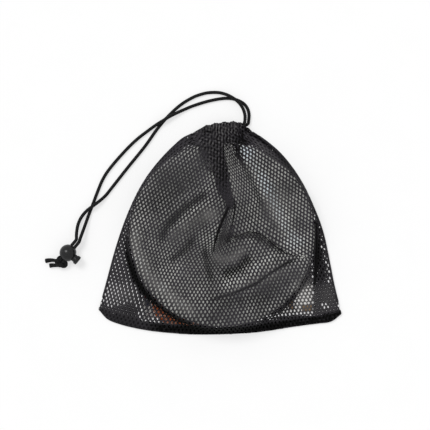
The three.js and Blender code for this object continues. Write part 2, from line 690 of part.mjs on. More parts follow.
const cordLock = new THREE.Group();
cordLock.applyMatrix4(new THREE.Matrix4().makeBasis(CORD_DIRECTION, point(0, 0, 1), plungerAxis));
cordLock.position.copy(LOCK_CENTRE);
cordLock.add(mesh('cord_lock_body', lockBody(), 0x3a3a3c, 0.3));
cordLock.add(mesh('cord_lock_plunger', lockPlunger(), 0x2e2e30, 0.35));
cordLock.add(mesh('cord_lock_spring', lockSpring(), STEEL, 0.3, 1));

const pack = new THREE.Group();
pack.position.set(PACK_CENTRE.x, PACK_CENTRE.y, packBase(PACK_CENTRE.x, PACK_CENTRE.y));
const packNormal = point(-packSlope * ballSide.x, -packSlope * ballSide.y, 1).normalize();
pack.quaternion.setFromUnitVectors(point(0, 0, 1), packNormal);
for (const [side, height, turn] of [['upper', upperHoopHeight, 0.9], ['lower', lowerHoopHeight, 3.3]]) {
  const hoop = new THREE.Group();
  hoop.rotation.z = turn; // where the hoop's ferrule lies
  hoop.add(mesh(`${side}_hoop_sleeve`, hoopSleeve(height), 0x2c2e31, 0.8));
  hoop.add(mesh(`${side}_hoop_wire`, hoopWire(height), STEEL, 0.35, 1));
  hoop.add(mesh(`${side}_hoop_ferrule`, hoopFerrule(height), STEEL, 0.4, 1));
  pack.add(hoop);
}
pack.add(mesh('skirt_top_fold', skirtTopFold(), GREY_NYLON, 0.6));
pack.add(mesh('rebound_net', reboundNet(), 0x202124, 0.8));
pack.add(mesh('skirt_bottom_fold', skirtBottomFold(), GREY_NYLON, 0.6));

const contents = new THREE.Group();
contents.add(mesh('ball', flatBall(), 0xd9772f, 0.5));
contents.add(mesh('ball_valve', ballValve(), 0x202022, 0.6));
const leaflet = mesh('leaflet', new THREE.BoxGeometry(...LEAFLET_SIZE), 0xf0efec, 0.5);
leaflet.rotation.z = LEAFLET_TURN;
leaflet.position.set(...LEAFLET_CENTRE, contentsFloor + LEAFLET_SIZE[2] / 2);
contents.add(leaflet);

console.log(`least gap between two passes of a hoop sleeve: ${leastGap().toFixed(2)} mm`);

const roundnetSet = new THREE.Group();
roundnetSet.add(bag, cord, cordLock, pack, contents);

export default roundnetSet;
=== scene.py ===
# %% [markdown]
# # A roundnet set, packed in its mesh bag
# Two spring hoops, each coiled in three, lie in a black mesh drawstring bag with the grey skirt
# folded over them, a ball pressed flat and a leaflet. The bag's cord leaves the drawn neck twice,
# crosses itself on its way and ends in a ball cord lock and a knot. The set lies on a pale floor
# and is seen from straight above.
#
# The solids that this scene dresses are loaded first. Each new piece rides on one of their bodies
# and stays where the solid is that it stands for.

import bmesh
import bpy
import numpy as np
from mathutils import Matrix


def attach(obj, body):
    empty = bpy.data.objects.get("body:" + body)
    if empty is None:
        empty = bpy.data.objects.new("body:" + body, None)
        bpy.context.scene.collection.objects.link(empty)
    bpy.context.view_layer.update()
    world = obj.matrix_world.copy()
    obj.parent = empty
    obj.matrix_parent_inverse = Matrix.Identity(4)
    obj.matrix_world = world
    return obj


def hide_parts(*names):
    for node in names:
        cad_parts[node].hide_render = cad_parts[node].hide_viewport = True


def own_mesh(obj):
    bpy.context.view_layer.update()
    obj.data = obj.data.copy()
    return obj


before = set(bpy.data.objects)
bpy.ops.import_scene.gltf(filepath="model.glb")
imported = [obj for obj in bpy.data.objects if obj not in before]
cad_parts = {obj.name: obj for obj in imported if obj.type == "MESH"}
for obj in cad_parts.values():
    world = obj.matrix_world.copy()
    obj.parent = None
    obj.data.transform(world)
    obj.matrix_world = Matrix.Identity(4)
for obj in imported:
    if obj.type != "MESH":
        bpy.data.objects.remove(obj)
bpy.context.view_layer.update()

MM = 0.001

# %% [markdown]
# ## Camera
# The photograph looks straight down, and one of its 430 pixels covers one millimetre. A camera
# three metres up with a long lens gives that: the picture is 0.43 m wide at the floor, and the
# pack's top, 20 mm nearer, grows by less than one part in a hundred.

# %% Camera over the bag
VIEW_WIDTH = 430.0
VIEW_CENTRE = (-5.0, 13.0)
CAMERA_HEIGHT = 3000.0
SENSOR_WIDTH = 36.0

lens = bpy.data.cameras.new("lens")
lens.sensor_width = SENSOR_WIDTH
lens.lens = SENSOR_WIDTH * CAMERA_HEIGHT / VIEW_WIDTH
lens.clip_end = 20.0
camera = bpy.data.objects.new("camera", lens)
camera.location = (VIEW_CENTRE[0] * MM, VIEW_CENTRE[1] * MM, CAMERA_HEIGHT * MM)
bpy.context.scene.collection.objects.link(camera)
bpy.context.scene.camera = camera
bpy.context.scene.view_settings.view_transform = "Standard"
print(f"lens {lens.lens:.0f} mm")

# %% [markdown]
# ## Helpers for meshes
# Every new surface here is a formula on a grid of numbers. A grid's points are worked out as one
# array in millimetres, and its faces are its squares, so one function makes every kind of piece.


# %% Meshes from arrays
def make_piece(name, points, faces, finish, body="root", stands_for=()):
    """A smooth mesh object from an (n, 3) array in millimetres and an (m, 4) array of corners. It
    rides on a body and may stand for solids of the frame."""
    mesh = bpy.data.meshes.new(name)
    corners = faces.shape[1]
    mesh.vertices.add(len(points))
    mesh.vertices.foreach_set("co", (np.asarray(points) * MM).astype(np.float32).ravel())
    mesh.loops.add(faces.size)
    mesh.loops.foreach_set("vertex_index", faces.astype(np.int32).ravel())
    mesh.polygons.add(len(faces))
    mesh.polygons.foreach_set("loop_start", np.arange(0, faces.size, corners, dtype=np.int32))
    mesh.polygons.foreach_set("use_smooth", np.ones(len(faces), bool))
    mesh.update(calc_edges=True)
    mesh.materials.append(finish)
    piece = bpy.data.objects.new(name, mesh)
    bpy.context.scene.collection.objects.link(piece)
    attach(piece, body)
    if stands_for:
        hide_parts(*stands_for)
    print(f"{name}: {len(points)} points, {len(faces)} faces")
    return piece


def add_values(piece, name, values):
    """A number for each point, which a material can read by its name."""
    attribute = piece.data.attributes.new(name, "FLOAT", "POINT")
    attribute.data.foreach_set("value", np.asarray(values, np.float32).ravel())


def grid_faces(rows, columns, wrap_rows=False, wrap_columns=False):
    """The squares of a rows x columns grid of points, numbered row by row."""
    r, c = np.meshgrid(np.arange(rows if wrap_rows else rows - 1),
                       np.arange(columns if wrap_columns else columns - 1), indexing="ij")
    next_r, next_c = (r + 1) % rows, (c + 1) % columns
    square = [r * columns + c, r * columns + next_c, next_r * columns + next_c, next_r * columns + c]
    return np.stack(square, axis=-1).reshape(-1, 4)


def unit(vectors):
    """Each vector divided by its length."""
    return vectors / np.linalg.norm(vectors, axis=-1, keepdims=True)


def ripple(x, y, size, seed, waves=7):
    """Soft unevenness, mostly from -1 to 1: a sum of sine waves of about one length over the root
    of their number. Each has its own seeded direction, so that no ripple repeats."""
    draw = np.random.default_rng(seed)
    angle = draw.uniform(0, 2 * np.pi, waves)
    rate = 2 * np.pi / (size * draw.uniform(0.7, 1.5, waves))
    phase = draw.uniform(0, 2 * np.pi, waves)
    along = x[..., None] * np.cos(angle) + y[..., None] * np.sin(angle)
    return np.sin(along * rate + phase).sum(axis=-1) / np.sqrt(waves)


def smoothstep(low, high, value):
    """0 below low, 1 above high, and 3t² - 2t³ between them."""
    share = np.clip((value - low) / (high - low), 0, 1)
    return share * share * (3 - 2 * share)


def add_wall(piece, thickness, offset=-1.0):
    """Gives a surface its thickness in millimetres, to its inner side unless told otherwise."""
    wall = piece.modifiers.new("wall", "SOLIDIFY")
    wall.thickness = thickness * MM
    wall.offset = offset
    wall.use_even_offset = False


# %% [markdown]
# ## Helpers for finishes
# A finish starts from Blender's Principled shader. Two small functions do the rest: one turns the
# colour that a maker would write, sRGB hex, into the linear numbers that light works with, and one
# adds a node with its settings and links.


# %% Colours and nodes
def srgb(text):
    """'#rrggbb' to linear: c / 12.92 when dark, otherwise ((c + 0.055) / 1.055) to the 2.4."""
    c = np.array([int(text[i:i + 2], 16) for i in (1, 3, 5)]) / 255
    linear = np.where(c <= 0.04045, c / 12.92, ((c + 0.055) / 1.055) ** 2.4)
    return (*linear.tolist(), 1.0)


def add_node(finish, kind, inputs=None, output=0, **settings):
    """Adds one shader node with its settings. Its inputs take values or other nodes' outputs, by
    name or number. Returns the output that is asked for."""
    node = finish.node_tree.nodes.new("ShaderNode" + kind)
    for key, value in settings.items():
        setattr(node, key, value)
    for key, value in (inputs or {}).items():
        if isinstance(value, bpy.types.NodeSocket):
            finish.node_tree.links.new(value, node.inputs[key])
        else:
            node.inputs[key].default_value = value
    return node.outputs[output]


def socket(finish, key):
    """The Principled shader's socket for a name such as base_color."""
    words = key.replace("_", " ").title().replace("Ior", "IOR")
    return finish.node_tree.nodes["Principled BSDF"].inputs[words]


def new_finish(name, **values):
    """A material with a Principled shader, whose sockets take the given values."""
    finish = bpy.data.materials.new(name)
    finish.use_nodes = True
    for key, value in values.items():
        socket(finish, key).default_value = value
    return finish


def lead(finish, **outputs):
    """Links nodes' outputs to the Principled shader's sockets."""
    for key, output in outputs.items():
        finish.node_tree.links.new(output, socket(finish, key))


COLOUR = {"data_type": "RGBA", "output": 2}  # a Mix node for colours: 0 is its share, 6 and 7 its ends


def per_metre(size):
    """A texture's scale, for a pattern whose lumps are of that size in millimetres."""
    return 1 / (size * MM)


# %% [markdown]
# ## The draw cord
# The cord is 3.3 mm braided polyester. Its two runs lie on the floor where the photograph shows
# them, cross each other three times, and pass side by side through the lock. Each run follows
# listed points, joined by a centripetal cubic spline: it passes through every point, and
# does not swing out where points lie close together.

# %% Routes of the cord, in millimetres
CORD_RADIUS = 1.65
LOCK_CENTRE = np.array([-151.6, -24.8, 8.65])
CORD_DIRECTION = unit(np.array([0.622, 0.783, 0.0]))
PLUNGER_AXIS = np.array([CORD_DIRECTION[1], -CORD_DIRECTION[0], 0.0])
UP = np.array([0.0, 0.0, 1.0])
LOCK_FRAME = np.stack([CORD_DIRECTION, UP, PLUNGER_AXIS])  # along the cords, up, along the plunger
CORD_OFFSET = 1.8  # from the lock's middle to each cord's
LOCK_RADIUS = 8.5


def through_lock(side):
    """The straight stretch through the lock, and the first of the way down to the knot."""
    along = np.array([15.5, 10, 5, 0, -4, -LOCK_RADIUS, -LOCK_RADIUS - 2])
    height = np.array([0, 0, 0, 0, 0, 0, -0.25])
    across = side * CORD_OFFSET * PLUNGER_AXIS
    return LOCK_CENTRE + along[:, None] * CORD_DIRECTION + height[:, None] * UP + across


RUN_1 = np.array([
    [24.9, 107.45, 6.9], [24.9, 112.5, 6], [23, 119, 5.5], [19.4, 124.6, 5.4], [15, 128.5, 5.3],
    [8, 132.6, 4.4], [0.5, 135, 2.4], [-6, 135.5, 1.65], [-13, 135, 1.65], [-19.5, 133.4, 1.65],
    [-26, 131, 1.65], [-38, 124, 1.65], [-50, 113.5, 1.65], [-61.5, 100.5, 1.65],
    [-74.8, 81.9, 1.65], [-93, 59.4, 1.65], [-108.4, 39.8, 1.65], [-114.4, 32.4, 2],
    [-120.3, 27, 4], [-127.4, 21.6, 5.3], [-133.7, 16.6, 3.9], [-138.6, 10.6, 3], [-141.6, 4, 4],
    [-142.9, -3, 6.6], [-143.2, -7.6, 8.2],
])
RUN_2 = np.array([
    [28.65, 107.45, 2.35], [29, 113, 1.75], [27.8, 118.5, 1.65], [24.5, 123.5, 1.65],
    [19, 127.1, 1.65], [12, 129.2, 1.65], [4, 129.5, 1.65], [-11, 126.9, 1.65], [-27, 122, 1.65],
    [-35, 118.7, 2], [-43, 115, 3.7], [-50, 111.5, 5.2], [-56.5, 107.5, 5.3], [-64, 102.8, 4.2],
    [-72.4, 96.8, 2], [-81.8, 89.6, 1.65], [-93, 79, 1.65], [-111.2, 58, 1.65],
    [-117.3, 48.2, 1.65], [-122.6, 35.6, 1.65], [-126.8, 24.4, 1.65], [-130.6, 14.5, 2],
    [-134, 5, 3.6], [-137.4, -4.8, 6.5], [-139.4, -10.4, 8.2],
])
TAIL_A = np.array([[-161.4, -32.6, 5.2], [-164.6, -32.4, 4.2], [-167.5, -32.1, 2.8],
                   [-171, -32.3, 1.75], [-174.4, -32.9, 1.65]])
TAIL_B = np.array([[-160.4, -37.2, 5.0], [-162.9, -37.4, 3.6], [-165, -37.3, 2.4],
                   [-167.6, -37.3, 1.7], [-170.2, -37.7, 1.65]])


def spline(points, spacing=0.4):
    """Equally spaced points on a centripetal cubic spline. A stretch between two points is a cubic
    whose end slopes weigh the neighbouring stretches by the square root of their lengths."""
    ends = [2 * points[:1] - points[1:2], points, 2 * points[-1:] - points[-2:-1]]
    p = np.vstack(ends)
    gap = np.sqrt(np.linalg.norm(np.diff(p, axis=0), axis=1))[:, None]
    before, here, after = gap[:-2], gap[1:-1], gap[2:]
    p0, p1, p2, p3 = p[:-3], p[1:-2], p[2:-1], p[3:]
    start = (p1 - p0) / before - (p2 - p0) / (before + here) + (p2 - p1) / here
    end = (p2 - p1) / here - (p3 - p1) / (here + after) + (p3 - p2) / after
    start, end = start * here, end * here
    t = np.linspace(0, 1, 60, endpoint=False)[None, :, None]
    a, b, c, d = p1[:, None], p2[:, None], start[:, None], end[:, None]
    dense = (a * (2 * t**3 - 3 * t**2 + 1) + b * (3 * t**2 - 2 * t**3)
             + c * (t**3 - 2 * t**2 + t) + d * (t**3 - t**2))
    dense = np.vstack([dense.reshape(-1, 3), p[-2:-1]])
    run = np.concatenate([[0], np.cumsum(np.linalg.norm(np.diff(dense, axis=0), axis=1))])
    even = np.linspace(0, run[-1], int(run[-1] / spacing) + 1)
    return np.stack([np.interp(even, run, dense[:, k]) for k in range(3)], axis=1)


def length_of(path):
    """The sum of the steps of a path."""
    return np.linalg.norm(np.diff(path, axis=0), axis=1).sum()


run_1_path = spline(np.vstack([RUN_1, through_lock(-1)]))
run_2_path = spline(np.vstack([RUN_2, through_lock(1)]))
print(f"run 1 {length_of(run_1_path):.1f} mm, run 2 {length_of(run_2_path):.1f} mm")

# %% [markdown]
# ### Braid
# A braid is two families of strands that wind the two ways round the cord, over one and under
# one. Where the two families' numbers, rounded down, add up to an even number, the first family
# lies on top, and otherwise the second. That one rule gives both the relief and the colour.

# %% Braided tube
BRAID_STRANDS = 8
BRAID_PITCH = 1.9
BRAID_DEPTH = 0.16
BRAID_SUNK = 0.7  # the share of its relief that lies inside the cord's own radius
CORD_SIDES = 32


def braid(angle, run):
    """How far a braid stands out, from 0 to 1. Strand numbers are n·angle/2π ± run/pitch; each
    strand's back is a cosine across it, which sinks at both ends of its visible stretch."""
    first = BRAID_STRANDS * angle / (2 * np.pi) + run / BRAID_PITCH
    second = BRAID_STRANDS * angle / (2 * np.pi) - run / BRAID_PITCH
    on_top = (np.floor(first) + np.floor(second)) % 2 == 0
    a = np.cos(np.pi * (first % 1 - 0.5))
    b = np.cos(np.pi * (second % 1 - 0.5))
    return np.where(on_top, a * (0.45 + 0.55 * b), b * (0.45 + 0.55 * a))


def tube(path, radius, sides=CORD_SIDES, lean=UP, braided=True, closed_ends=True):
    """Rings round a path: each ring's two directions are across the path and across both, from
    the cross product with lean. A low dome of shrinking rings closes each end, all but a pinhole."""
    steps = np.diff(path, axis=0)
    forward = unit(np.vstack([steps[:1], steps[:-1] + steps[1:], steps[-1:]]))
    side = unit(np.cross(forward, lean))
    over = np.cross(forward, side)
    run = np.concatenate([[0], np.cumsum(np.linalg.norm(steps, axis=1))])
    angle = np.linspace(0, 2 * np.pi, sides, endpoint=False)
    height = braid(angle[None], run[:, None]) if braided else np.zeros((len(path), sides))
    size = np.asarray(radius).reshape(-1, 1) + BRAID_DEPTH * (height - BRAID_SUNK) * braided
    ring = (np.cos(angle)[None, :, None] * side[:, None] + np.sin(angle)[None, :, None] * over[:, None])
    rings = path[:, None] + size[..., None] * ring
    if closed_ends:
        rings, height = cap_rings(rings, height, path, forward)
    return rings.reshape(-1, 3), grid_faces(len(rings), sides, wrap_columns=True), height.ravel()


def cap_rings(rings, height, path, forward):
    """Adds rings that shrink to the middle at both ends, on a shallow dome."""
    domes = []
    for end, way in ((0, -1), (-1, 1)):
        share = np.array([0.8, 0.45, 0.02])[:, None, None]
        rise = np.array([0.18, 0.42, 0.5])[:, None, None]
        flat_ring = rings[end] - path[end]
        dome = path[end] + share * flat_ring + way * rise * forward[end]
        domes.append(dome if way > 0 else dome[::-1])
    heights = [np.repeat(height[:1], 3, axis=0), height, np.repeat(height[-1:], 3, axis=0)]
    return np.concatenate([domes[0], rings, domes[1]]), np.concatenate(heights)


# %% [markdown]
# ### Cord finish
# Black braided polyester: spun-dyed filament yarn, braided at a fixed machine pitch. Filament
# yarn gives a soft sheen on the back of each strand, and the dips between strands get painted shade.

# %% Braided polyester
def braided_polyester():
    """Black on the backs of the strands, with painted shade in the dips and a paler painted glint on some
    fibres.
    """
    finish = new_finish("black_braided_polyester", roughness=0.6, sheen_weight=0.03,
                        sheen_roughness=0.4, ior=1.5, specular_ior_level=0.1)
    place = add_node(finish, "TexCoord", output="Object")
    crown = add_node(finish, "Attribute", output="Fac", attribute_name="crown")
    fibre = add_node(finish, "TexNoise", {"Vector": place, "Scale": per_metre(0.25), "Detail": 4.0})
    # Painted shade: blacker where the braid sinks into its dips.
    share = add_node(finish, "MapRange", {0: crown, 1: 0.15, 2: 0.9})
    colour = add_node(finish, "Mix", {0: share, 6: srgb("#050505"), 7: srgb("#141415")}, **COLOUR)
    # A painted glint, paler, on some fibres.
    painted_glint = add_node(finish, "MapRange", {0: fibre, 1: 0.4, 2: 0.8, 4: 0.35})
    colour = add_node(finish, "Mix", {0: painted_glint, 6: colour, 7: srgb("#29292b")}, **COLOUR)
    bump = add_node(finish, "Bump", {"Height": fibre, "Distance": 0.08 * MM, "Strength": 0.6})
    lead(finish, base_color=colour, normal=bump)
    return finish


cord_finish = braided_polyester()


def make_cord(name, path, stands_for, swell=0.0):
    """A braided tube with its crown values, which stands for one stretch of the cord. A cut end
    that a hot blade has melted swells by a part of a millimetre, and lies that much higher."""
    grown = swell * smoothstep(0.2, 1, np.linspace(0, 1, len(path)))
    points, faces, crown = tube(path + grown[:, None] * UP, CORD_RADIUS + grown)
    piece = make_piece(name, points, faces, cord_finish, stands_for=[stands_for])
    add_values(piece, "crown", crown)
    return piece


draw_cord_1 = make_cord("draw_cord_run_1", run_1_path, "drawcord_run_1")
draw_cord_2 = make_cord("draw_cord_run_2", run_2_path, "drawcord_run_2")

# %% [markdown]
# ### Knot and tails
# Both cords end in one overhand knot, so that the lock can't slide off, and their two tails are
# cut short with a hot blade. An overhand knot is a stretch of the trefoil, which winds twice
# round a ring while it turns three times through it. The two cords lie side by side all the way,
# so both strands follow that one line, one on each side of it.

# %% Overhand knot of both cords
KNOT_CENTRE = np.array([-158.4, -34.0, 4.6])
KNOT_RING, KNOT_TURN, KNOT_HEIGHT = 2.6, 1.25, 1.5
TAIL_SWELL = 0.6


def knot_strand(side):
    """One strand, 0.8 mm outwards or inwards of the line (r·sin t, h·sin 1.5t, 1.25·r·cos t),
    where r is ring + turn·cos 1.5t and t goes a little past two rounds at both ends."""
    turn = np.linspace(-0.12, 2.12, 120) * 2 * np.pi
    radius = KNOT_RING + KNOT_TURN * np.cos(1.5 * turn)
    local = np.stack([radius * np.sin(turn), KNOT_HEIGHT * np.sin(1.5 * turn) + 0.2 * side,
                      radius * 1.25 * np.cos(turn)], axis=1)
    spread = unit(local * np.array([1, 0.3, 1])) * side * 0.8
    return spline(KNOT_CENTRE + (local + spread) @ LOCK_FRAME, 0.3)


knot_parts = [tube(knot_strand(side), CORD_RADIUS, 20, lean=np.array([0.1, 0.2, 1.0]))
              for side in (-1, 1)]


def joined(parts):
    """Several (points, faces, values) sets as one."""
    starts = np.cumsum([0] + [len(part[0]) for part in parts[:-1]])
    points = np.vstack([part[0] for part in parts])
    faces = np.vstack([part[1] + start for part, start in zip(parts, starts)])
    return points, faces, np.concatenate([part[2] for part in parts])


knot_points, knot_faces, knot_crown = joined(knot_parts)
knot = make_piece("overhand_knot", knot_points, knot_faces, cord_finish,
                  stands_for=["drawcord_knot"])
add_values(knot, "crown", knot_crown)
tail_a = make_cord("cut_tail_a", spline(TAIL_A), "drawcord_tail_a", TAIL_SWELL)
tail_b = make_cord("cut_tail_b", spline(TAIL_B), "drawcord_tail_b", TAIL_SWELL)

# %% [markdown]
# ## The cord lock
# A ball of moulded nylon with a plunger across it. A spring under the plunger shifts the
# plunger's slot against the ball's slot and so pinches the cords. Both parts are turned shapes
# with one slot through them: a profile is spun round the plunger's axis, and a stadium-shaped bar
# is cut away.

# %% Turned parts with a slot
SLOT_HALF_HEIGHT = 1.95
SLOT_REACH = 3.75
PLUNGER_TRAVEL = 1.8


def turned(profile, sides=96):
    """Spins (radius, height) pairs round the plunger's axis, from axis to axis."""
    angle = np.linspace(0, 2 * np.pi, sides, endpoint=False)
    radius, height = np.asarray(profile).T
    ring = np.stack([radius[:, None] * np.cos(angle), radius[:, None] * np.sin(angle),
                     np.repeat(height[:, None], sides, axis=1)], axis=-1)
    return LOCK_CENTRE + ring.reshape(-1, 3) @ LOCK_FRAME, grid_faces(len(radius), sides, wrap_columns=True)


def arc(centre, radius, start, end, count):
    """Points of a profile on an arc, by angles in degrees from the radius direction."""
    angle = np.radians(np.linspace(start, end, count))
    return [(centre[0] + radius * np.cos(a), centre[1] + radius * np.sin(a)) for a in angle]


def slot_bar(low, high):
    """A bar along the cords with a stadium for its section, between two places on the plunger's
    axis. Its rounded ends fit round the cords."""
    half = np.radians(np.linspace(-90, 90, 17))
    end = SLOT_HALF_HEIGHT
    right = np.stack([np.sin(half) * end, high - end + np.cos(half) * end], axis=1)
    left = np.stack([-np.sin(half) * end, low + end - np.cos(half) * end], axis=1)
    section = np.vstack([right, left])
    along = np.array([-2, 2]) * LOCK_RADIUS
    points = np.array([[a, height, out] for a in along for height, out in section])
    sides = len(section)
    walls = grid_faces(2, sides, wrap_columns=True)
    return LOCK_CENTRE + points @ LOCK_FRAME, walls, sides


def cut_slot(piece, low, high):
    """Takes the slot out of a piece with a boolean, and keeps the result as its mesh."""
    points, walls, sides = slot_bar(low, high)
    faces = walls.tolist() + [list(range(sides)), list(range(2 * sides - 1, sides - 1, -1))]
    bar_mesh = bpy.data.meshes.new("slot_bar")
    bar_mesh.from_pydata((points * MM).tolist(), [], faces)
    bar = bpy.data.objects.new("slot_bar", bar_mesh)
    bpy.context.scene.collection.objects.link(bar)
    cut = piece.modifiers.new("slot", "BOOLEAN")
    cut.object, cut.operation, cut.solver = bar, "DIFFERENCE", "EXACT"
    seen = bpy.context.evaluated_depsgraph_get()
    result = bpy.data.meshes.new_from_object(piece.evaluated_get(seen))
    piece.modifiers.clear()
    piece.data = result
    bpy.data.objects.remove(bar)
    result.set_sharp_from_angle(angle=np.radians(40))
    print(f"{piece.name}: slot cut, {len(result.polygons)} faces")


def merged(piece, distance=0.0005):
    """Merges doubled points and turns all faces outwards."""
    work = bmesh.new()
    work.from_mesh(piece.data)
    bmesh.ops.remove_doubles(work, verts=work.verts, dist=distance * MM)
    bmesh.ops.recalc_face_normals(work, faces=work.faces)
    work.to_mesh(piece.data)
    work.free()
    return piece


# %% [markdown]
# ### Finish of moulded parts
# The lock is black nylon 6 straight from a polished mould. It is glossy where fingers polish it
# and scuffed elsewhere, so both its colour and its roughness vary between two values.


# %% Moulded black parts
def moulded_black(name, colour, worn, polish):
    """A moulded part in black: nylon when its polish is a low roughness, rubber when it is high.
    The eye gets a small sharp highlight on it, which the flow of the melt makes uneven."""
    finish = new_finish(name, ior=1.53, specular_ior_level=0.22)
    place = add_node(finish, "TexCoord", output="Object")
    scuff = add_node(finish, "TexNoise", {"Vector": place, "Scale": per_metre(1.2), "Detail": 6.0})
    flow = add_node(finish, "TexNoise", {"Vector": place, "Scale": per_metre(0.6), "Detail": 2.0})
    share = add_node(finish, "MapRange", {0: scuff, 1: 0.45, 2: 0.7})
    shade = add_node(finish, "Mix", {0: share, 6: srgb(colour), 7: srgb(worn)}, **COLOUR)
    rough = add_node(finish, "MapRange", {0: scuff, 1: 0.3, 2: 0.75, 3: polish, 4: polish + 0.1})
    bump = add_node(finish, "Bump", {"Height": flow, "Distance": 0.05 * MM, "Strength": 0.25})
    lead(finish, base_color=shade, roughness=rough, normal=bump)
    return finish


ball_finish = moulded_black("moulded_black_nylon_ball", "#141415", "#232324", 0.18)
plunger_finish = moulded_black("moulded_black_nylon_plunger", "#0e0e0f", "#1a1a1b", 0.2)

# %% [markdown]
# ### Ball and plunger
# The ball's profile goes from its pole round the outside to the mouth, over a small lip into the
# plunger's bore, and down to the spring's pocket. Its parting line is a ridge of 0.07 mm.

# %% Ball
LOCK_MOUTH = 7.0
BORE_RADIUS, BORE_FLOOR = 4.1, -6.6
POCKET_RADIUS, POCKET_FLOOR = 2.7, -7.5
ball_profile = arc((0, 0), LOCK_RADIUS, -89.9, 51.5, 72)
ball_profile += [(BORE_RADIUS + 0.62, LOCK_MOUTH - 0.08), (BORE_RADIUS + 0.3, LOCK_MOUTH)]
ball_profile += [(BORE_RADIUS + 0.08, LOCK_MOUTH - 0.1), (BORE_RADIUS, LOCK_MOUTH - 0.35)]
ball_profile += [(BORE_RADIUS, BORE_FLOOR), (POCKET_RADIUS, BORE_FLOOR),
                 (POCKET_RADIUS, POCKET_FLOOR), (0.01, POCKET_FLOOR)]
ball_profile = np.array(ball_profile)
parting = np.exp(-(ball_profile[:, 1] / 0.16) ** 2) * (ball_profile[:, 0] > 8)
ball_profile[:, 0] += 0.07 * parting
points, faces = turned(ball_profile)
lock_ball = make_piece("cord_lock_ball", points, faces, ball_finish, "lock",
                       ["cord_lock_body"])
merged(lock_ball)
cut_slot(lock_ball, -SLOT_REACH, SLOT_REACH)

# %% [markdown]
# The plunger is a shaft with a broader round head, whose end is dished for the thumb. Its slot is
# longer than the ball's by the way that it travels.

# %% Plunger
PLUNGER_RADIUS = 3.8
PLUNGER_END = -4.5
HEAD_START = 9.85
HEAD_RADIUS = 4.7
HEAD_END = HEAD_START + 3.5
plunger_profile = [(0.01, PLUNGER_END), (PLUNGER_RADIUS - 0.3, PLUNGER_END)]
plunger_profile += arc((PLUNGER_RADIUS - 0.3, PLUNGER_END + 0.3), 0.3, -90, 0, 6)
plunger_profile += [(PLUNGER_RADIUS, HEAD_START - 0.3), (PLUNGER_RADIUS + 0.08, HEAD_START - 0.08)]
plunger_profile += [(PLUNGER_RADIUS + 0.3, HEAD_START)]
plunger_profile += arc((HEAD_RADIUS - 0.7, HEAD_START + 0.7), 0.7, -90, 0, 8)
plunger_profile += arc((HEAD_RADIUS - 1.2, HEAD_END - 1.2), 1.2, 0, 90, 12)
plunger_profile += [(2.6, HEAD_END - 0.02), (2.2, HEAD_END - 0.3), (1.2, HEAD_END - 0.42),
                    (0.01, HEAD_END - 0.45)]
points, faces = turned(plunger_profile)
plunger = make_piece("cord_lock_button", points, faces, plunger_finish, "plunger",
                     ["cord_lock_plunger"])
merged(plunger)
cut_slot(plunger, -SLOT_REACH, SLOT_REACH + PLUNGER_TRAVEL)

# %% [markdown]
# ### Spring
# The spring is drawn steel wire, wound to a helix. It stands in the ball's pocket, drawn at rest;
# in the real lock it flattens as the plunger goes in.


# %% Drawn steel and the spring
def drawn_steel():
    """Drawn carbon steel: bright grey, with fine marks from the die, 0.3 mm across."""
    finish = new_finish("drawn_spring_steel", metallic=1.0, roughness=0.3)
    place = add_node(finish, "TexCoord", output="Object")
    streak = add_node(finish, "TexNoise", {"Vector": place, "Scale": per_metre(0.3)})
    shade = add_node(finish, "Mix", {0: streak, 6: srgb("#8c8e92"), 7: srgb("#c3c5c8")}, **COLOUR)
    rough = add_node(finish, "MapRange", {0: streak, 1: 0.3, 2: 0.7, 3: 0.24, 4: 0.42})
    lead(finish, base_color=shade, roughness=rough)
    return finish


steel_finish = drawn_steel()
SPRING_LOW, SPRING_HIGH = -7.0, -5.0
SPRING_RADIUS, SPRING_WIRE, SPRING_TURNS = 2.1, 0.2, 2.25
wind = np.linspace(0, SPRING_TURNS, 110)
helix = np.stack([SPRING_RADIUS * np.cos(2 * np.pi * wind), SPRING_RADIUS * np.sin(2 * np.pi * wind),
                  SPRING_LOW + (SPRING_HIGH - SPRING_LOW) * wind / wind[-1]], axis=1)
points, faces, _ = tube(LOCK_CENTRE + helix @ LOCK_FRAME, SPRING_WIRE, 10, PLUNGER_AXIS,
                        braided=False, closed_ends=False)
spring = make_piece("cord_lock_wire_spring", points, faces, steel_finish, "lock",
                    ["cord_lock_spring"])
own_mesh(spring)

# %% [markdown]
# ### What the cords are
# A cord that is drawn in one place can lie differently elsewhere. Here only each run's length,
# printed where its route is made, and its thickness are given.

# %% [markdown]
# ## The folded pack
# The pack is a disc 184 mm across: two hoops of sprung wire in fabric sleeves, each twisted into
# three coils, with the skirt and the rebound net folded between them. It leans a little, because
# the flattened ball props up its near left side. The pieces are worked out level, in the pack's
# own frame, and one function turns and lifts them into place.

# %% The pack's own frame
PACK_RADIUS = 92.0
PACK_CENTRE = np.array([2.0, -7.0])
BALL_CENTRE = np.array([-26.5, -57.0])
PANEL_TOP = 1.0
PROPPED_RISE = 4.9 / 164.0  # the ball's lift over the length that it props up
SLEEVE_RADIUS = 2.0
COIL_SPREAD = 2.6
COIL_RADIUS = PACK_RADIUS - COIL_SPREAD - SLEEVE_RADIUS
PACK_BORE = 82.5
PACK_TOP = 19.6
SKIRT_DIP = 2.4
ball_side = unit(BALL_CENTRE - PACK_CENTRE)
print(f"the pack leans by {np.degrees(np.arctan(PROPPED_RISE)):.1f} degrees")


def from_pack(x, y):
    """Distance from the pack's middle, seen from above."""
    return np.hypot(x - PACK_CENTRE[0], y - PACK_CENTRE[1])


def pack_base(x, y):
    """Height of the plane under the pack: it rises steadily towards the ball."""
    reach = (x - PACK_CENTRE[0]) * ball_side[0] + (y - PACK_CENTRE[1]) * ball_side[1]
    return PANEL_TOP + PROPPED_RISE * (PACK_RADIUS + reach)


def fold_top(radius):
    """Height of the skirt's upper fold over that plane: level over the hoops, sunk inside them."""
    return PACK_TOP - SKIRT_DIP * np.clip(1 - (radius / PACK_BORE) ** 2, 0, 1)


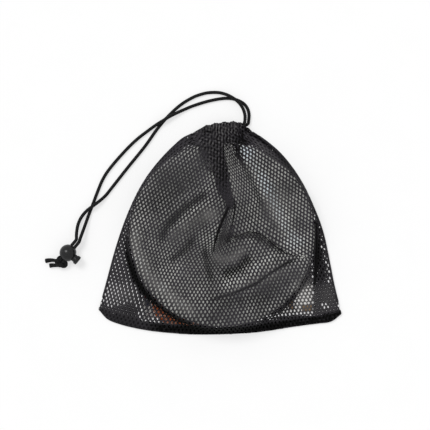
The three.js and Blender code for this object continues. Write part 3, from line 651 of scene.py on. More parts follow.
def into_place(points):
    """Turns level points by the least turn that takes +Z to the leaning pack's normal."""
    normal = unit(np.array([*(-PROPPED_RISE * ball_side), 1.0]))
    axis = np.cross(UP, normal)
    skew = np.array([[0, -axis[2], axis[1]], [axis[2], 0, -axis[0]], [-axis[1], axis[0], 0]])
    turn = np.eye(3) + skew + skew @ skew / (1 + normal[2])
    return points @ turn.T + np.array([*PACK_CENTRE, pack_base(*PACK_CENTRE)])


# %% [markdown]
# ### Coiled hoops
# A hoop coiled in three is a torus knot: while it goes three times round the pack, its place in
# the coil goes once round a small circle. So its three passes keep a third of a turn from each
# other, never touch, and close into one loop. Sleeve, wire and ferrule all follow that line.

# %% Coils
HOOPS = {"upper": (14.1, 0.9), "lower": (4.6, 3.3)}  # height of the coil, and its turn in radians
WIRE_RADIUS = 1.1
FERRULE_HALF, FERRULE_BORE = 10.0, 1.5
END_GAP = 0.3
SLEEVE_PUCKER = 0.035
COIL_TURN = 6 * np.pi


def coil_tube(height, turn, ring_radius, low, high, stations, sides, pucker=0.0):
    """A tube on the coil from one angle to another. Its centre is at the radius R + a·cos(t/3)
    and the height h + a·sin(t/3) at the angle t. A sleeve's cloth puckers along the wire."""
    t = np.linspace(low, high, stations)[:, None]
    side = -np.linspace(0, 2 * np.pi, sides, endpoint=False)[None]
    wrinkle = (np.sin(t * 41 + 2 * np.sin(side)) * np.sin(t * 17.3 + side)
               + 0.6 * np.sin(t * 97 + 3 * side))
    size = ring_radius * (1 + pucker * wrinkle)
    radius = COIL_RADIUS + COIL_SPREAD * np.cos(t / 3) + size * np.cos(side)
    z = height + COIL_SPREAD * np.sin(t / 3) + size * np.sin(side)
    points = np.stack([radius * np.cos(t + turn), radius * np.sin(t + turn), z], axis=-1)
    run = np.broadcast_to(t * COIL_RADIUS, radius.shape)
    return into_place(points.reshape(-1, 3)), run.ravel(), np.broadcast_to(side, radius.shape).ravel()


# %% [markdown]
# The sleeve is black polyester binding, sewn round the wire. It reads the distance along the
# sleeve and the angle round it, so that its weave follows the coil.


# %% Woven binding and the hoops' pieces
def woven_binding():
    """A plain weave of 0.5 mm threads, drawn twice as coarse so that it shows: the sine of the
    distance times the sine of the angle. It looks matt, with pale dust in patches."""
    finish = new_finish("black_woven_binding", roughness=0.75, sheen_weight=0.2, specular_ior_level=0.3)
    place = add_node(finish, "TexCoord", output="Object")
    run = add_node(finish, "Attribute", output="Fac", attribute_name="run")
    side = add_node(finish, "Attribute", output="Fac", attribute_name="side")
    along = add_node(finish, "Math", {0: run, 1: 6.3}, operation="MULTIPLY")
    warp = add_node(finish, "Math", {0: along}, operation="SINE")
    around = add_node(finish, "Math", {0: side, 1: 13.0}, operation="MULTIPLY")
    weft = add_node(finish, "Math", {0: around}, operation="SINE")
    weave = add_node(finish, "Math", {0: warp, 1: weft}, operation="MULTIPLY")
    dust = add_node(finish, "TexNoise", {"Vector": place, "Scale": per_metre(6.0), "Detail": 5.0})
    share = add_node(finish, "MapRange", {0: weave, 1: -1.0, 2: 1.0})
    shade = add_node(finish, "Mix", {0: share, 6: srgb("#131415"), 7: srgb("#26282a")}, **COLOUR)
    dusty = add_node(finish, "MapRange", {0: dust, 1: 0.5, 2: 0.8, 4: 0.4})
    shade = add_node(finish, "Mix", {0: dusty, 6: shade, 7: srgb("#4a4c4e")}, **COLOUR)
    bump = add_node(finish, "Bump", {"Height": weave, "Distance": 0.06 * MM, "Strength": 0.7})
    lead(finish, base_color=shade, normal=bump)
    return finish


binding_finish = woven_binding()
for hoop, (height, turn) in HOOPS.items():
    ends = (FERRULE_HALF + END_GAP) / COIL_RADIUS
    points, run, side = coil_tube(height, turn, SLEEVE_RADIUS, ends, COIL_TURN - ends, 900, 16,
                                  SLEEVE_PUCKER)
    sleeve = make_piece(f"{hoop}_hoop_binding", points, grid_faces(900, 16, wrap_columns=True),
                        binding_finish, stands_for=[f"{hoop}_hoop_sleeve"])
    add_values(sleeve, "run", run)
    add_values(sleeve, "side", side)

    gap = END_GAP / COIL_RADIUS
    points, _, _ = coil_tube(height, turn, WIRE_RADIUS, gap, COIL_TURN - gap, 700, 8)
    make_piece(f"{hoop}_hoop_spring_wire", points, grid_faces(700, 8, wrap_columns=True),
               steel_finish, stands_for=[f"{hoop}_hoop_wire"])

    half = FERRULE_HALF / COIL_RADIUS
    outside, _, _ = coil_tube(height, turn, SLEEVE_RADIUS - 0.1, -half, half, 40, 20)
    inside, _, _ = coil_tube(height, turn, FERRULE_BORE, -half, half, 40, 20)
    points = np.vstack([outside, inside.reshape(40, 20, 3)[::-1].reshape(-1, 3)])
    make_piece(f"{hoop}_hoop_steel_ferrule", points, grid_faces(80, 20, True, True),
               steel_finish, stands_for=[f"{hoop}_hoop_ferrule"])

# %% [markdown]
# ### Grey nylon
# The skirt is thin grey nylon that folds over the hoops. Its wrinkles run from the middle to the
# rim, because cloth that is packed round a hoop has to lose length there. Each fold follows a
# short line of points, with a width, a depth, and a tone. The tone is painted shade in the folds'
# valleys and painted light on their backs, and soft patches paint the same over broad dips and swells.

# %% Folds and tone of the nylon
# Four tones of painted light and shade: how pale or how dull a fold or patch is painted.
PALE, LIGHT, DULL, DARK = 0.9, 0.45, -0.45, -0.9
# Each fold: half width, depth, tone, and its line of points. First the backs of the folds, with
# painted light: two right of the parting, the ridge that goes down to the left, the left rim and
# the swell at the lower right.
NYLON_FOLDS = [
    (8.0, -0.6, PALE, [(21, 82), (42, 48), (65, 3), (76, -22)]),
    (4.0, -0.3, LIGHT, [(6, 77), (12, 52), (17, 26)]),
    (5.0, -0.3, 0.5 * LIGHT, [(-18, 60), (-8, 44), (-12, 27), (-30, 14), (-52, -8)]),
    (8.0, -0.3, LIGHT, [(-74, 14), (-86, 0), (-81, -32), (-56, -62), (-30, -83)]),
    (7.0, -0.5, LIGHT, [(0, -62), (45, -33), (72, -13)]),
    # The valleys, with painted shade: left, right and below the middle, and the crease at the lower right.
    (3.6, 0.8, DULL, [(-8, 36), (-26, 26), (-42, 14), (-52, 3), (-60, -14)]),
    (3.2, 1.1, DULL, [(2, -9), (20, -8), (34, -8), (47, -15), (66, -25)]),
    (3.0, 0.8, DULL, [(-16, -18), (-13, -38), (-8, -52)]),
    (5.0, 0.6, DULL, [(30, -26), (16, -40), (2, -45)]),
    (3.0, 0.7, DULL, [(-24, -8), (-36, -22), (-50, -34)]),
    (3.0, 0.6, DULL, [(26, 58), (36, 38), (46, 14), (60, -6)]),
    (9.0, 0.3, DULL, [(14, -74), (50, -60), (80, -43)]),
    (1.4, 0.8, DARK, [(-10, -72), (10, -66), (35, -56), (50, -45), (66, -35), (76, -30)]),
]
# Each patch: x, y, half width, half height, tone. The upper left turns away from the light and gets
# painted shade, and the cloth pulled tight over the hoop at the upper right gets a painted highlight.
# The last three are painted shade in shallow dents, two at the right and one beside the wedge.
NYLON_PATCHES = [
    (-42, 50, 26, 20, DULL), (26, 78, 10, 8, PALE), (-38, -44, 24, 16, LIGHT), (0, -90, 28, 6, DULL),
    (84, -14, 8, 18, LIGHT), (50, 42, 14, 12, LIGHT), (67, 41, 9, 6, DULL), (78, 2, 9, 7, DULL),
    (-16, 66, 9, 8, DULL),
]
print(f"nylon: {len(NYLON_FOLDS)} folds and {len(NYLON_PATCHES)} patches")

# %% [markdown]
# A fold is worked out from the distance to its line: deepest on the line, and less and less to
# both sides, as a bell. The mesh of the bag lies in folds of the same kind, so it uses these two
# functions as well.


# %% From lines to folds
def near_line(x, y, line):
    """Distance in millimetres from each point to a line of straight stretches, signed by side, the
    share of the line's length at the nearest place, and the way from there to the point."""
    line = np.asarray(line, float)
    start, step = line[:-1], np.diff(line, axis=0)
    length = np.linalg.norm(step, axis=1)
    before = np.concatenate([[0], np.cumsum(length)[:-1]])
    dx, dy = x[..., None] - start[:, 0], y[..., None] - start[:, 1]
    share = np.clip((dx * step[:, 0] + dy * step[:, 1]) / length**2, 0, 1)
    off_x, off_y = dx - share * step[:, 0], dy - share * step[:, 1]
    away = np.hypot(off_x, off_y)
    side = np.sign(step[:, 0] * dy - step[:, 1] * dx)
    best = away.argmin(axis=-1)[..., None]
    found = (away * side, (before + share * length) / length.sum(), off_x, off_y)
    return tuple(np.take_along_axis(values, best, -1)[..., 0] for values in found)


def creased(x, y, folds, patches):
    """Sum of the folds' depths, and of their and the patches' tones, which are painted light and
    shade. Across a fold both fall off as exp(-(distance / half width)²), and along it they fade at its ends."""
    depth, tone = np.zeros_like(x), np.zeros_like(x)
    for width, deep, shade, line in folds:
        away, along, _, _ = near_line(x, y, line)
        fade = smoothstep(0, 0.15, along + 0.05) * smoothstep(0, 0.15, 1.05 - along)
        bell = np.exp(-((away / width) ** 2)) * fade
        depth += deep * bell
        tone += shade * bell
    for px, py, half_x, half_y, shade in patches:
        tone += shade * np.exp(-(((x - px) / half_x) ** 2) - ((y - py) / half_y) ** 2)
    return depth, tone


# %% [markdown]
# Each fold of the skirt is one disc of cloth. A square grid is bent to the disc for it, because a
# grid of rings and spokes would crowd its points in the middle.


# %% A disc of cloth
NYLON_THICKNESS = 0.3


def round_cloth(radius, count, height_at, folds, patches, seed, rumple):
    """A disc from a square grid: (u, v) goes to (u·√(1 - v²/2), v·√(1 - u²/2)), which spreads the
    squares evenly over the disc. Height is the fold's own, less creases and rumples."""
    u, v = np.meshgrid(np.linspace(-1, 1, count), np.linspace(-1, 1, count))
    x = radius * u * np.sqrt(1 - v**2 / 2)
    y = radius * v * np.sqrt(1 - u**2 / 2)
    away = np.hypot(x, y)
    depth, tone = creased(x + PACK_CENTRE[0], y + PACK_CENTRE[1], folds, patches)
    waves = rumple * (ripple(x, y, 34, seed) + 0.35 * ripple(x, y, 11, seed + 1))
    hold = smoothstep(radius, radius - 14, away)
    z = height_at(away) - (depth + rumple + waves) * hold
    points = into_place(np.stack([x, y, z], axis=-1).reshape(-1, 3))
    return points, grid_faces(count, count), (tone + 0.12 * ripple(x, y, 16, seed + 2)).ravel()


# %% [markdown]
# The cloth is grey nylon taffeta with a thin coating. The coating gives it a soft sheen and keeps
# its creases crisp. Its colour carries painted shade, a duller, darker grey in the folds' valleys,
# and painted light on their backs.


# %% Nylon taffeta
def nylon_taffeta():
    """Dark grey to pale grey by the folds' painted light and shade, then to a bluish white, a painted
    highlight, on the palest. Its threads of 0.12 mm are too fine to show, so two crossed Wave textures
    stand for the weave's unevenness: they turn by 20 radians over a length of 1 / scale, which makes
    waves 2π · 0.7 = 4.4 mm long."""
    finish = new_finish("grey_nylon_taffeta", roughness=0.48, sheen_weight=0.3, sheen_roughness=0.35,
                        specular_ior_level=0.4, ior=1.53)
    place = add_node(finish, "TexCoord", output="Object")
    tone = add_node(finish, "Attribute", output="Fac", attribute_name="tone")
    cloud = add_node(finish, "TexNoise", {"Vector": place, "Scale": per_metre(9.0), "Detail": 4.0})
    grain = add_node(finish, "Math", {0: cloud, 1: 0.4}, operation="MULTIPLY")
    total = add_node(finish, "Math", {0: tone, 1: grain}, operation="ADD")
    # Painted shade and light from dark to pale grey, then a painted bluish highlight on the palest.
    dark = add_node(finish, "MapRange", {0: total, 1: -0.6, 2: 0.65})
    painted_highlight = add_node(finish, "MapRange", {0: total, 1: 0.65, 2: 1.9})
    shade = add_node(finish, "Mix", {0: dark, 6: srgb("#2a2d2c"), 7: srgb("#bfbfba")}, **COLOUR)
    shade = add_node(finish, "Mix", {0: painted_highlight, 6: shade, 7: srgb("#d6e2ea")}, **COLOUR)
    threads = [add_node(finish, "TexWave", {"Vector": place, "Scale": per_metre(0.7) / 20},
                        output="Fac", bands_direction=axis) for axis in "XY"]
    weave = add_node(finish, "Math", {0: threads[0], 1: threads[1]}, operation="MULTIPLY")
    fine = add_node(finish, "Bump", {"Height": weave, "Distance": 0.04 * MM, "Strength": 0.4})
    crinkle = add_node(finish, "TexNoise", {"Vector": place, "Scale": per_metre(4.5), "Detail": 5.0})
    bump = add_node(finish, "Bump", {"Height": crinkle, "Distance": 0.5 * MM, "Strength": 0.5,
                                     "Normal": fine})
    lead(finish, base_color=shade, normal=bump)
    return finish


nylon_finish = nylon_taffeta()

# %% [markdown]
# The upper fold is drawn over the hoops and turned down at its edge. The lower fold lies flat
# inside the lower hoop, where only three hard folds cross it.

# %% Upper and lower fold
FOLD_EDGE = PACK_RADIUS - 0.4
LOWER_FOLD_HEIGHT = 2.55
# The lower fold's three hard folds carry painted shade.
LOWER_FOLDS = [(3.0, -0.5, DULL, [(-60, -30), (-20, -20), (10, 10), (50, 30)]),
               (2.5, -0.4, DULL, [(-20, 60), (0, 20), (-10, -30), (-30, -70)]),
               (2.5, -0.4, DULL, [(60, -30), (20, -40), (0, -70)])]


def top_fold_height(radius):
    """Its edge turns down over the outer pass of the hoop."""
    return fold_top(radius) - 1.2 * smoothstep(FOLD_EDGE - 3, FOLD_EDGE, radius) - 0.1


def bottom_fold_height(radius):
    """The same height all over."""
    return np.full_like(radius, LOWER_FOLD_HEIGHT)


def make_fold(name, cloth, stands_for):
    """One fold of the skirt with its tones and its thickness."""
    points, faces, tone = cloth
    piece = make_piece(name, points, faces, nylon_finish, stands_for=[stands_for])
    add_values(piece, "tone", tone)
    add_wall(piece, NYLON_THICKNESS)
    return piece


top_cloth = round_cloth(FOLD_EDGE, 200, top_fold_height, NYLON_FOLDS, NYLON_PATCHES, 4, 0.35)
bottom_cloth = round_cloth(PACK_BORE, 90, bottom_fold_height, LOWER_FOLDS, [], 9, -0.12)
skirt_top = make_fold("skirt_upper_fold", top_cloth, "skirt_top_fold")
skirt_bottom = make_fold("skirt_lower_fold", bottom_cloth, "skirt_bottom_fold")

# %% [markdown]
# ### Rebound net
# Between the two folds lies the rebound net: black knotless cord netting, folded into a flat
# cake. Only its outline and its uneven surface matter, since cloth covers it on all sides. It is
# a lens whose upper and lower halves are the same disc, with ridges where cords lie.


# %% Folded rebound net
def net_cake(count=90, sides=240, radius=79.5, middle=9.35, half=6.0, edge_share=0.9):
    """Half height is h·√(1 - 0.19·r²) less ridges, where r is the share of the radius."""
    share, angle = np.meshgrid(np.linspace(0, 1, count),
                               np.linspace(2 * np.pi, 0, sides, endpoint=False), indexing="ij")
    x, y = radius * share * np.cos(angle), radius * share * np.sin(angle)
    strands = np.abs(np.sin(x / 3.1 + y / 7)) * np.abs(np.sin(y / 2.7))
    ridges = 0.4 * np.abs(ripple(x, y, 12, 21)) + 0.3 * strands
    lift = half * np.sqrt(1 - (1 - edge_share**2) * share**2) - ridges
    top = np.stack([x, y, middle + lift], axis=-1)
    under = np.stack([x, y, middle - lift], axis=-1)[::-1]
    rings = np.concatenate([top, under])
    return into_place(rings.reshape(-1, 3)), grid_faces(2 * count, sides, wrap_columns=True)


def knotless_netting():
    """Black polyester cord netting: 1.2 mm cords, seen as ridges, with painted shade, near black, in the
    dips between them.
    """
    finish = new_finish("black_knotless_netting", roughness=0.8, sheen_weight=0.15)
    place = add_node(finish, "TexCoord", output="Object")
    cords = add_node(finish, "TexVoronoi", {"Vector": place, "Scale": per_metre(2.4)},
                     output="Distance", feature="DISTANCE_TO_EDGE")
    share = add_node(finish, "MapRange", {0: cords, 1: 0.0, 2: 0.25})
    # Painted shade: darker away from the cords.
    shade = add_node(finish, "Mix", {0: share, 6: srgb("#2e2f32"), 7: srgb("#0b0b0c")}, **COLOUR)
    bump = add_node(finish, "Bump", {"Height": share, "Distance": 0.5 * MM, "Strength": 0.8}, invert=True)
    lead(finish, base_color=shade, normal=bump)
    return finish


points, faces = net_cake()
merged(make_piece("rebound_net_folded", points, faces, knotless_netting(),
                  stands_for=["rebound_net"]))

# %% [markdown]
# ## Mesh bag
# The bag is warp-knitted polyester mesh. Its holes are upright hexagons in rows 3.2 mm apart, and
# they are 3.7 mm apart along a row. A picture of holes would be flat, so every hole is real here:
# each cell of the lattice is a hexagon with a smaller hexagonal hole, neighbours share corners,
# and Solidify gives the yarn its thickness.

# %% Outline of the bag
# The hem's inner edge, and then the outline: the corners of the bag's back solid, sorted by their
# angle round the pack.
HEM_TOP = np.array([[-118, -80.4], [-104, -86.5], [-76, -94], [-37, -98.2], [0, -98.8], [38, -96.5],
                    [80, -89.5], [104, -86], [118.4, -82.6]])
back_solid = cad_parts["bag_back_panel"].data
corners = np.empty(3 * len(back_solid.vertices), np.float32)
back_solid.vertices.foreach_get("co", corners)
corners = np.unique(np.round(corners.reshape(-1, 3)[:, :2] / MM, 3), axis=0)
from_centre = corners - PACK_CENTRE
order = np.argsort(np.arctan2(from_centre[:, 1], from_centre[:, 0]))
OUTLINE = corners[order]
OUTLINE_ANGLE = np.arctan2(*(OUTLINE - PACK_CENTRE).T[::-1])
OUTLINE_RADIUS = np.linalg.norm(OUTLINE - PACK_CENTRE, axis=1)
print(f"outline: {len(OUTLINE)} points, {np.ptp(OUTLINE[:, 0]):.0f} x {np.ptp(OUTLINE[:, 1]):.0f} mm")
# Over the neck the front's cloth goes on past the mouth and over the channel.
NECK_POINTS = np.array([[-24, 97.2], [-16, 101.4], [-7, 104.0], [2.5, 105.5], [13, 106.3], [21, 105.4],
                        [25, 103.4], [28.5, 100.4], [32, 97.2], [36, 94.9]])
neck_x = np.linspace(-24, 36, 61)
scallops = 0.45 * np.cos(2 * np.pi * (neck_x - 13) / 9) * (np.abs(neck_x - 3) < 19)
NECK_TOP = np.column_stack([neck_x, np.interp(neck_x, *NECK_POINTS.T) + scallops])
neck_angle = np.arctan2(*(NECK_TOP - PACK_CENTRE).T[::-1])
neck_radius = np.linalg.norm(NECK_TOP - PACK_CENTRE, axis=1)


def outline_reach(x, y):
    """Distance from the pack's centre to the outline, in the direction of (x, y)."""
    angle = np.arctan2(y - PACK_CENTRE[1], x - PACK_CENTRE[0])
    reach = np.interp(angle, OUTLINE_ANGLE, OUTLINE_RADIUS, period=2 * np.pi)
    over_neck = np.interp(angle, neck_angle[::-1], neck_radius[::-1], left=0, right=0)
    return np.maximum(reach, over_neck)


def edge_inset(x, y):
    """How far a place lies inside the outline, measured towards the pack's centre."""
    return outline_reach(x, y) - from_pack(x, y)


def in_bag(x, y, margin=0.0):
    """True where a place lies inside the outline by more than a margin."""
    return from_pack(x, y) < outline_reach(x, y) - margin


# %% [markdown]
# ### Folds of the mesh
# The mesh has folds of its own: it stands up in ridges, whose yarn gets painted light, and lies in
# valleys, whose yarn gets painted shade. They are kept in the same way as the nylon's folds, as short
# lines of points, with patches of painted light and shade for the broad changes of tone.

# %% Folds and tone of the mesh
# Each fold: half width, depth, tone, and its line of points. First the ridges, with painted light:
# the one that goes down to the left, the crescent below the middle, the left rim, right of the
# parting and the lower right.
YARN_FOLDS = [
    (6.0, -0.6, LIGHT, [(-52, -14), (-37, 2), (-20, 9), (-6, 14)]),
    (5.0, -0.8, PALE, [(-8, -26), (2, -32), (14, -29), (26, -21)]),
    (6.0, -0.3, PALE, [(-85, 2), (-84, -20), (-71, -47), (-50, -67), (-24, -85)]),
    (4.0, -0.6, LIGHT, [(8, 70), (12, 52), (16, 30)]),
    (7.0, -0.4, LIGHT, [(30, 62), (46, 34), (64, 0), (76, -18)]),
    (5.0, -0.3, LIGHT, [(10, -64), (40, -52), (65, -39)]),
    # The valleys between them, with painted shade, and the thin crease at the lower right.
    (4.4, 1.0, DULL, [(-12, 36), (-28, 24), (-42, 13), (-53, 0), (-60, -16)]),
    (4.0, 0.9, DULL, [(3, -9), (14, -10), (26, -8), (38, -9), (50, -17), (66, -26)]),
    (3.4, 0.8, DULL, [(-16, -20), (-13, -38), (-8, -52)]),
    (6.0, 0.6, DARK, [(30, -28), (20, -40), (4, -47)]),
    (3.4, 0.6, DULL, [(-26, -12), (-37, -24), (-50, -33)]),
    (3.6, 0.6, DULL, [(25, 60), (34, 42), (41, 24)]),
    (1.6, 0.5, DARK, [(10, -66), (35, -56), (50, -45), (66, -35), (78, -30)]),
]
# Each patch: x, y, half width, half height, tone. Painted light where the cloth is bunched where the
# ridge meets the wedge; painted shade on the upper left, the wedge and the second pleat; painted
# light on the right side; and painted shade below the crease.
YARN_PATCHES = [
    (-9, 14, 8, 7, PALE), (-62, 26, 18, 12, DULL), (4, 60, 8, 24, DULL), (18, 77, 5, 12, DULL),
    (58, 26, 16, 14, LIGHT), (30, -72, 46, 8, DULL),
]
# The same past the rim: painted light in the right corner, over the leaflet and in the left corner,
# and painted shade in the tuck and below it. The last three are at the neck: painted shade in two
# nips at its right, and a paler band along its top edge.
CORNER_PATCHES = [
    (106, -68, 10, 14, LIGHT), (84, -68, 9, 15, 2 * PALE), (-100, -66, 14, 10, LIGHT),
    (97, -22, 4, 30, DARK), (104, -44, 5, 10, DULL),
    (26, 87, 8, 4, DARK), (22, 94, 3, 4, DARK), (2, 99, 20, 6, LIGHT),
]
print(f"mesh: {len(YARN_FOLDS)} folds and {len(YARN_PATCHES + CORNER_PATCHES)} patches")

# %% [markdown]
# ### How the front of the bag lies
# Over the pack the mesh follows the nylon. Past the rim it falls steeply to the bag's edge, then
# runs out flat. At the neck it stands up towards the gathered channel, in pleats.

# %% Height of the front panel
NECK_X, NECK_Y = 5.45, 102.5
PLEAT_PITCH = 2.9
EDGE_HEIGHT = 2.9
RIM_RADIUS = 92.6
OVAL_Y, OVAL_HALF = 101.6, 5.4  # where the front goes over the channel: an oval's middle and half length
OVAL_BASE, OVAL_RISE = 8.0, 3.1


def neck_share(x, y):
    """1 at the middle of the drawn neck, falling to 0 about 50 mm below it and to its sides."""
    return np.exp(-(((x - NECK_X) / 24) ** 2)) * smoothstep(NECK_Y - 48, NECK_Y, y)


def pleat_wave(x, y):
    """-1 to 1 across the neck's pleats, which spread and wander a little on their way down."""
    spread = 1 + 0.45 * smoothstep(100, 66, y)
    place = (x - NECK_X) / spread + 1.3 * np.sin(y / 5 + x / 9) + 0.8 * np.sin(y / 2.9 - x / 6)
    narrow = np.cos(2 * np.pi * place / PLEAT_PITCH + 1.3 * np.sin(place / 5))
    return (narrow + 0.8 * np.cos(place * 2.1 + y / 9)) / 1.8


def front_height(x, y):
    """Centre of the mesh's thickness: over the pack it stands up in its ridges. From the rim to
    the edge it falls as (1 - share^0.75)^1.9: steep, then flat. Past the mouth it goes over the
    channel, on half an oval."""
    radius = from_pack(x, y)
    ridges = np.maximum(0, -creased(x, y, YARN_FOLDS, [])[0]) * smoothstep(89, 80, radius)
    over = pack_base(x, y) + fold_top(radius) + 0.5 + ridges - 1.2 * smoothstep(89, RIM_RADIUS, radius)
    reach = np.maximum(outline_reach(x, y), RIM_RADIUS + 4)
    share = np.clip((radius - RIM_RADIUS) / (reach - RIM_RADIUS), 0, 1)
    low = EDGE_HEIGHT + 5.6 * neck_share(x, y)
    fall = low + (over - low) * (1 - share ** 0.75) ** 1.9
    z = np.where(radius < RIM_RADIUS, over, fall)
    channel = OVAL_BASE + OVAL_RISE * np.sqrt(np.clip(1 - ((y - OVAL_Y) / OVAL_HALF) ** 2, 0, 1))
    z = np.where((y > 96.5) & (np.abs(x - 4) < 21), np.maximum(z, channel), z)
    return z + 0.8 * pleat_wave(x, y) * smoothstep(62, 92, y) * np.exp(-(((x - 5) / 25) ** 4))


# %% [markdown]
# ### Painted light and shade on the mesh
# The black yarn is painted pale where light falls on it and black where it is bunched and in shade,
# with a random speckle at the neck. One number for each point says which, from below 0, blacker, to
# about 2, palest, and the finish turns it into a colour.


# %% Painted light and shade, and speckle, of the yarn
def rim_shade(x, y):
    """1 at the pack's lower left, where the mesh hangs down the rim, less at its lower right."""
    angle = np.degrees(np.arctan2(y - PACK_CENTRE[1], x - PACK_CENTRE[0])) % 360
    return (smoothstep(165, 200, angle) * smoothstep(275, 245, angle)
            + 0.3 * smoothstep(285, 300, angle) * smoothstep(345, 325, angle))


def painted_light_and_speckle(x, y):
    """The yarn's painted light and shade: painted light on the pleats' backs, painted shade in their
    valleys and in the nips. At the neck the bunched yarn is speckled too. The right shoulder has a pale
    band of painted light and a dark band of painted shade, and the foot of the rim and the hem get
    painted shade."""
    # Painted light on the pleats' backs and painted shade in their valleys, with a random speckle.
    wear_and_painted_light = 0.5 * pleat_wave(x, y) * smoothstep(66, 92, y)
    wear_and_painted_light = wear_and_painted_light + 1.1 * ripple(x, y, 2.6, 61) * smoothstep(20, 70, y) - 0.15
    wear_and_painted_light = wear_and_painted_light * np.exp(-(((x + 1) / np.where(y > 78, 30, 13)) ** 4))
    inset = edge_inset(x, y)
    # A pale band of painted light and a dark band of painted shade along the right shoulder.
    band = 0.6 * np.exp(-(((inset - 9) / 3.5) ** 2)) - 1.2 * np.exp(-(((inset - 3.6) / 1.3) ** 2))
    wear_and_painted_light = wear_and_painted_light + band * smoothstep(50, 88, y) * smoothstep(17, 24, x)
    # The folds' and patches' painted light and shade.
    wear_and_painted_light = wear_and_painted_light + creased(x, y, YARN_FOLDS, YARN_PATCHES + CORNER_PATCHES)[1]
    radius = from_pack(x, y)
    # Painted shade at the foot of the rim, where the mesh hangs down it.
    wear_and_painted_light = wear_and_painted_light - 1.2 * rim_shade(x, y) * np.exp(-(((radius - 95.6) / 3.6) ** 2))
    # Painted shade along the hem.
    hem = (0.25 + 0.75 * smoothstep(-80, -55, x)) * (1 + 0.35 * ripple(x, y, 3, 62))
    return wear_and_painted_light - hem * smoothstep(-1, 1.5, np.interp(x, *HEM_TOP.T) - y)


# %% [markdown]
# ### Lattice of holes
# The lattice is laid out flat first. A cell is six quads between a hexagon and the hexagonal hole
# in it, and cells next to each other share their corners, so that the mesh is one surface.

# %% Cells of the lattice
CELL = 2.119  # from a cell's middle to its corners
HOLE = np.array([0.95, 1.5])  # the same for its hole, across and along, before the slack
YARN_THICKNESS = 0.28
ROW_PITCH = 1.5 * CELL
CELL_PITCH = np.sqrt(3) * CELL
SIX = np.radians(30 + 60 * np.arange(6))
SPOKES = np.stack([np.cos(SIX), np.sin(SIX)], axis=1)
print(f"holes {CELL_PITCH:.2f} mm apart, in rows {ROW_PITCH:.2f} mm apart")


def cell_centres(columns, rows):
    """Rows 1.5 cells apart, every other one shifted by half the pitch."""
    i, j = np.meshgrid(columns, rows, indexing="ij")
    return np.stack([(i + 0.5 * (j % 2)) * CELL_PITCH, j * ROW_PITCH], axis=-1).reshape(-1, 2)


def holed_cells(corners):
    """Points and faces of cells from an (n, 12, 2) array: six corners of each cell, then six of
    its hole. They are rounded to a thousandth, so that neighbours find their shared corners."""
    points, numbers = np.unique(np.round(corners.reshape(-1, 2), 3), axis=0, return_inverse=True)
    numbers = numbers.reshape(-1, 12)
    k, after = np.arange(6), (np.arange(6) + 1) % 6
    quads = [numbers[:, k], numbers[:, after], numbers[:, 6 + after], numbers[:, 6 + k]]
    return points, np.stack(quads, axis=-1).reshape(-1, 4)


# %% [markdown]
# All the net layers come from one function. It turns, shifts and warps the flat cells into place,
# keeps those inside a region, opens their holes as far as the mesh is pulled there, and lifts them
# to the height of their layer.


# %% Net layers
def pulled_open(x, y):
    """How wide the holes are: wider over the ball's and the leaflet's corners, where the mesh is
    pulled sideways, and narrower at the lower left, where it hangs slack."""
    over_ball = np.exp(-(((x + 57) / 13) ** 2) - ((y + 84) / 9) ** 2)
    over_leaflet = np.exp(-(((x - 83) / 9) ** 2) - ((y + 72) / 14) ** 2)
    slack = np.exp(-(((x + 88) / 22) ** 2) - ((y + 72) / 24) ** 2)
    return 1 + 0.4 * over_ball + 0.45 * over_leaflet - 0.22 * slack


def net_layer(keep, height, warp=None, turn=0.0, shift=(0.0, 0.0), reach=150.0, hole=1.0,
              shade=0.0, seed=1):
    """Points, faces and painted light and shade of one layer: its shade value adds painted shade below
    0 and painted light above it. keep, height and warp are functions of x and y: where the layer is,
    how high it lies and how its flat lattice is bent. Holes vary a little in size and place. Nothing
    goes past the outline."""
    count = int(reach / ROW_PITCH)
    centres = cell_centres(np.arange(-count, count + 1), np.arange(-count, count + 1))
    outer = centres[:, None] + CELL * SPOKES

    def placed(flat):
        """Flat places turned, shifted and warped as the layer is."""
        c, s = np.cos(turn), np.sin(turn)
        x = flat[..., 0] * c - flat[..., 1] * s + shift[0]
        y = flat[..., 0] * s + flat[..., 1] * c + shift[1]
        return warp(x, y) if warp else (x, y)

    x, y = placed(centres)
    inside = keep(x, y)
    draw = np.random.default_rng(seed)
    slack = 1 + 0.08 * draw.standard_normal((len(centres), 6, 1))
    size = hole * HOLE * np.stack([pulled_open(x, y), np.ones(len(centres))], axis=1)[:, None]
    inner = centres[:, None] + size * slack * SPOKES + 0.06 * draw.standard_normal((len(centres), 1, 2))
    flat, faces = holed_cells(np.concatenate([outer[inside], inner[inside]], axis=1))
    x, y = placed(flat)
    hold = np.minimum(1, (outline_reach(x, y) - 0.3) / from_pack(x, y))
    x = PACK_CENTRE[0] + (x - PACK_CENTRE[0]) * hold
    y = PACK_CENTRE[1] + (y - PACK_CENTRE[1]) * hold
    return np.stack([x, y, height(x, y)], axis=-1), faces, painted_light_and_speckle(x, y) + shade


# %% [markdown]
# The yarn is black textured polyester. It is matt, because its filaments point all ways, and its
# fuzz looks a little paler than the yarn itself. Painted light takes it to grey, and painted shade to
# black where it is bunched.


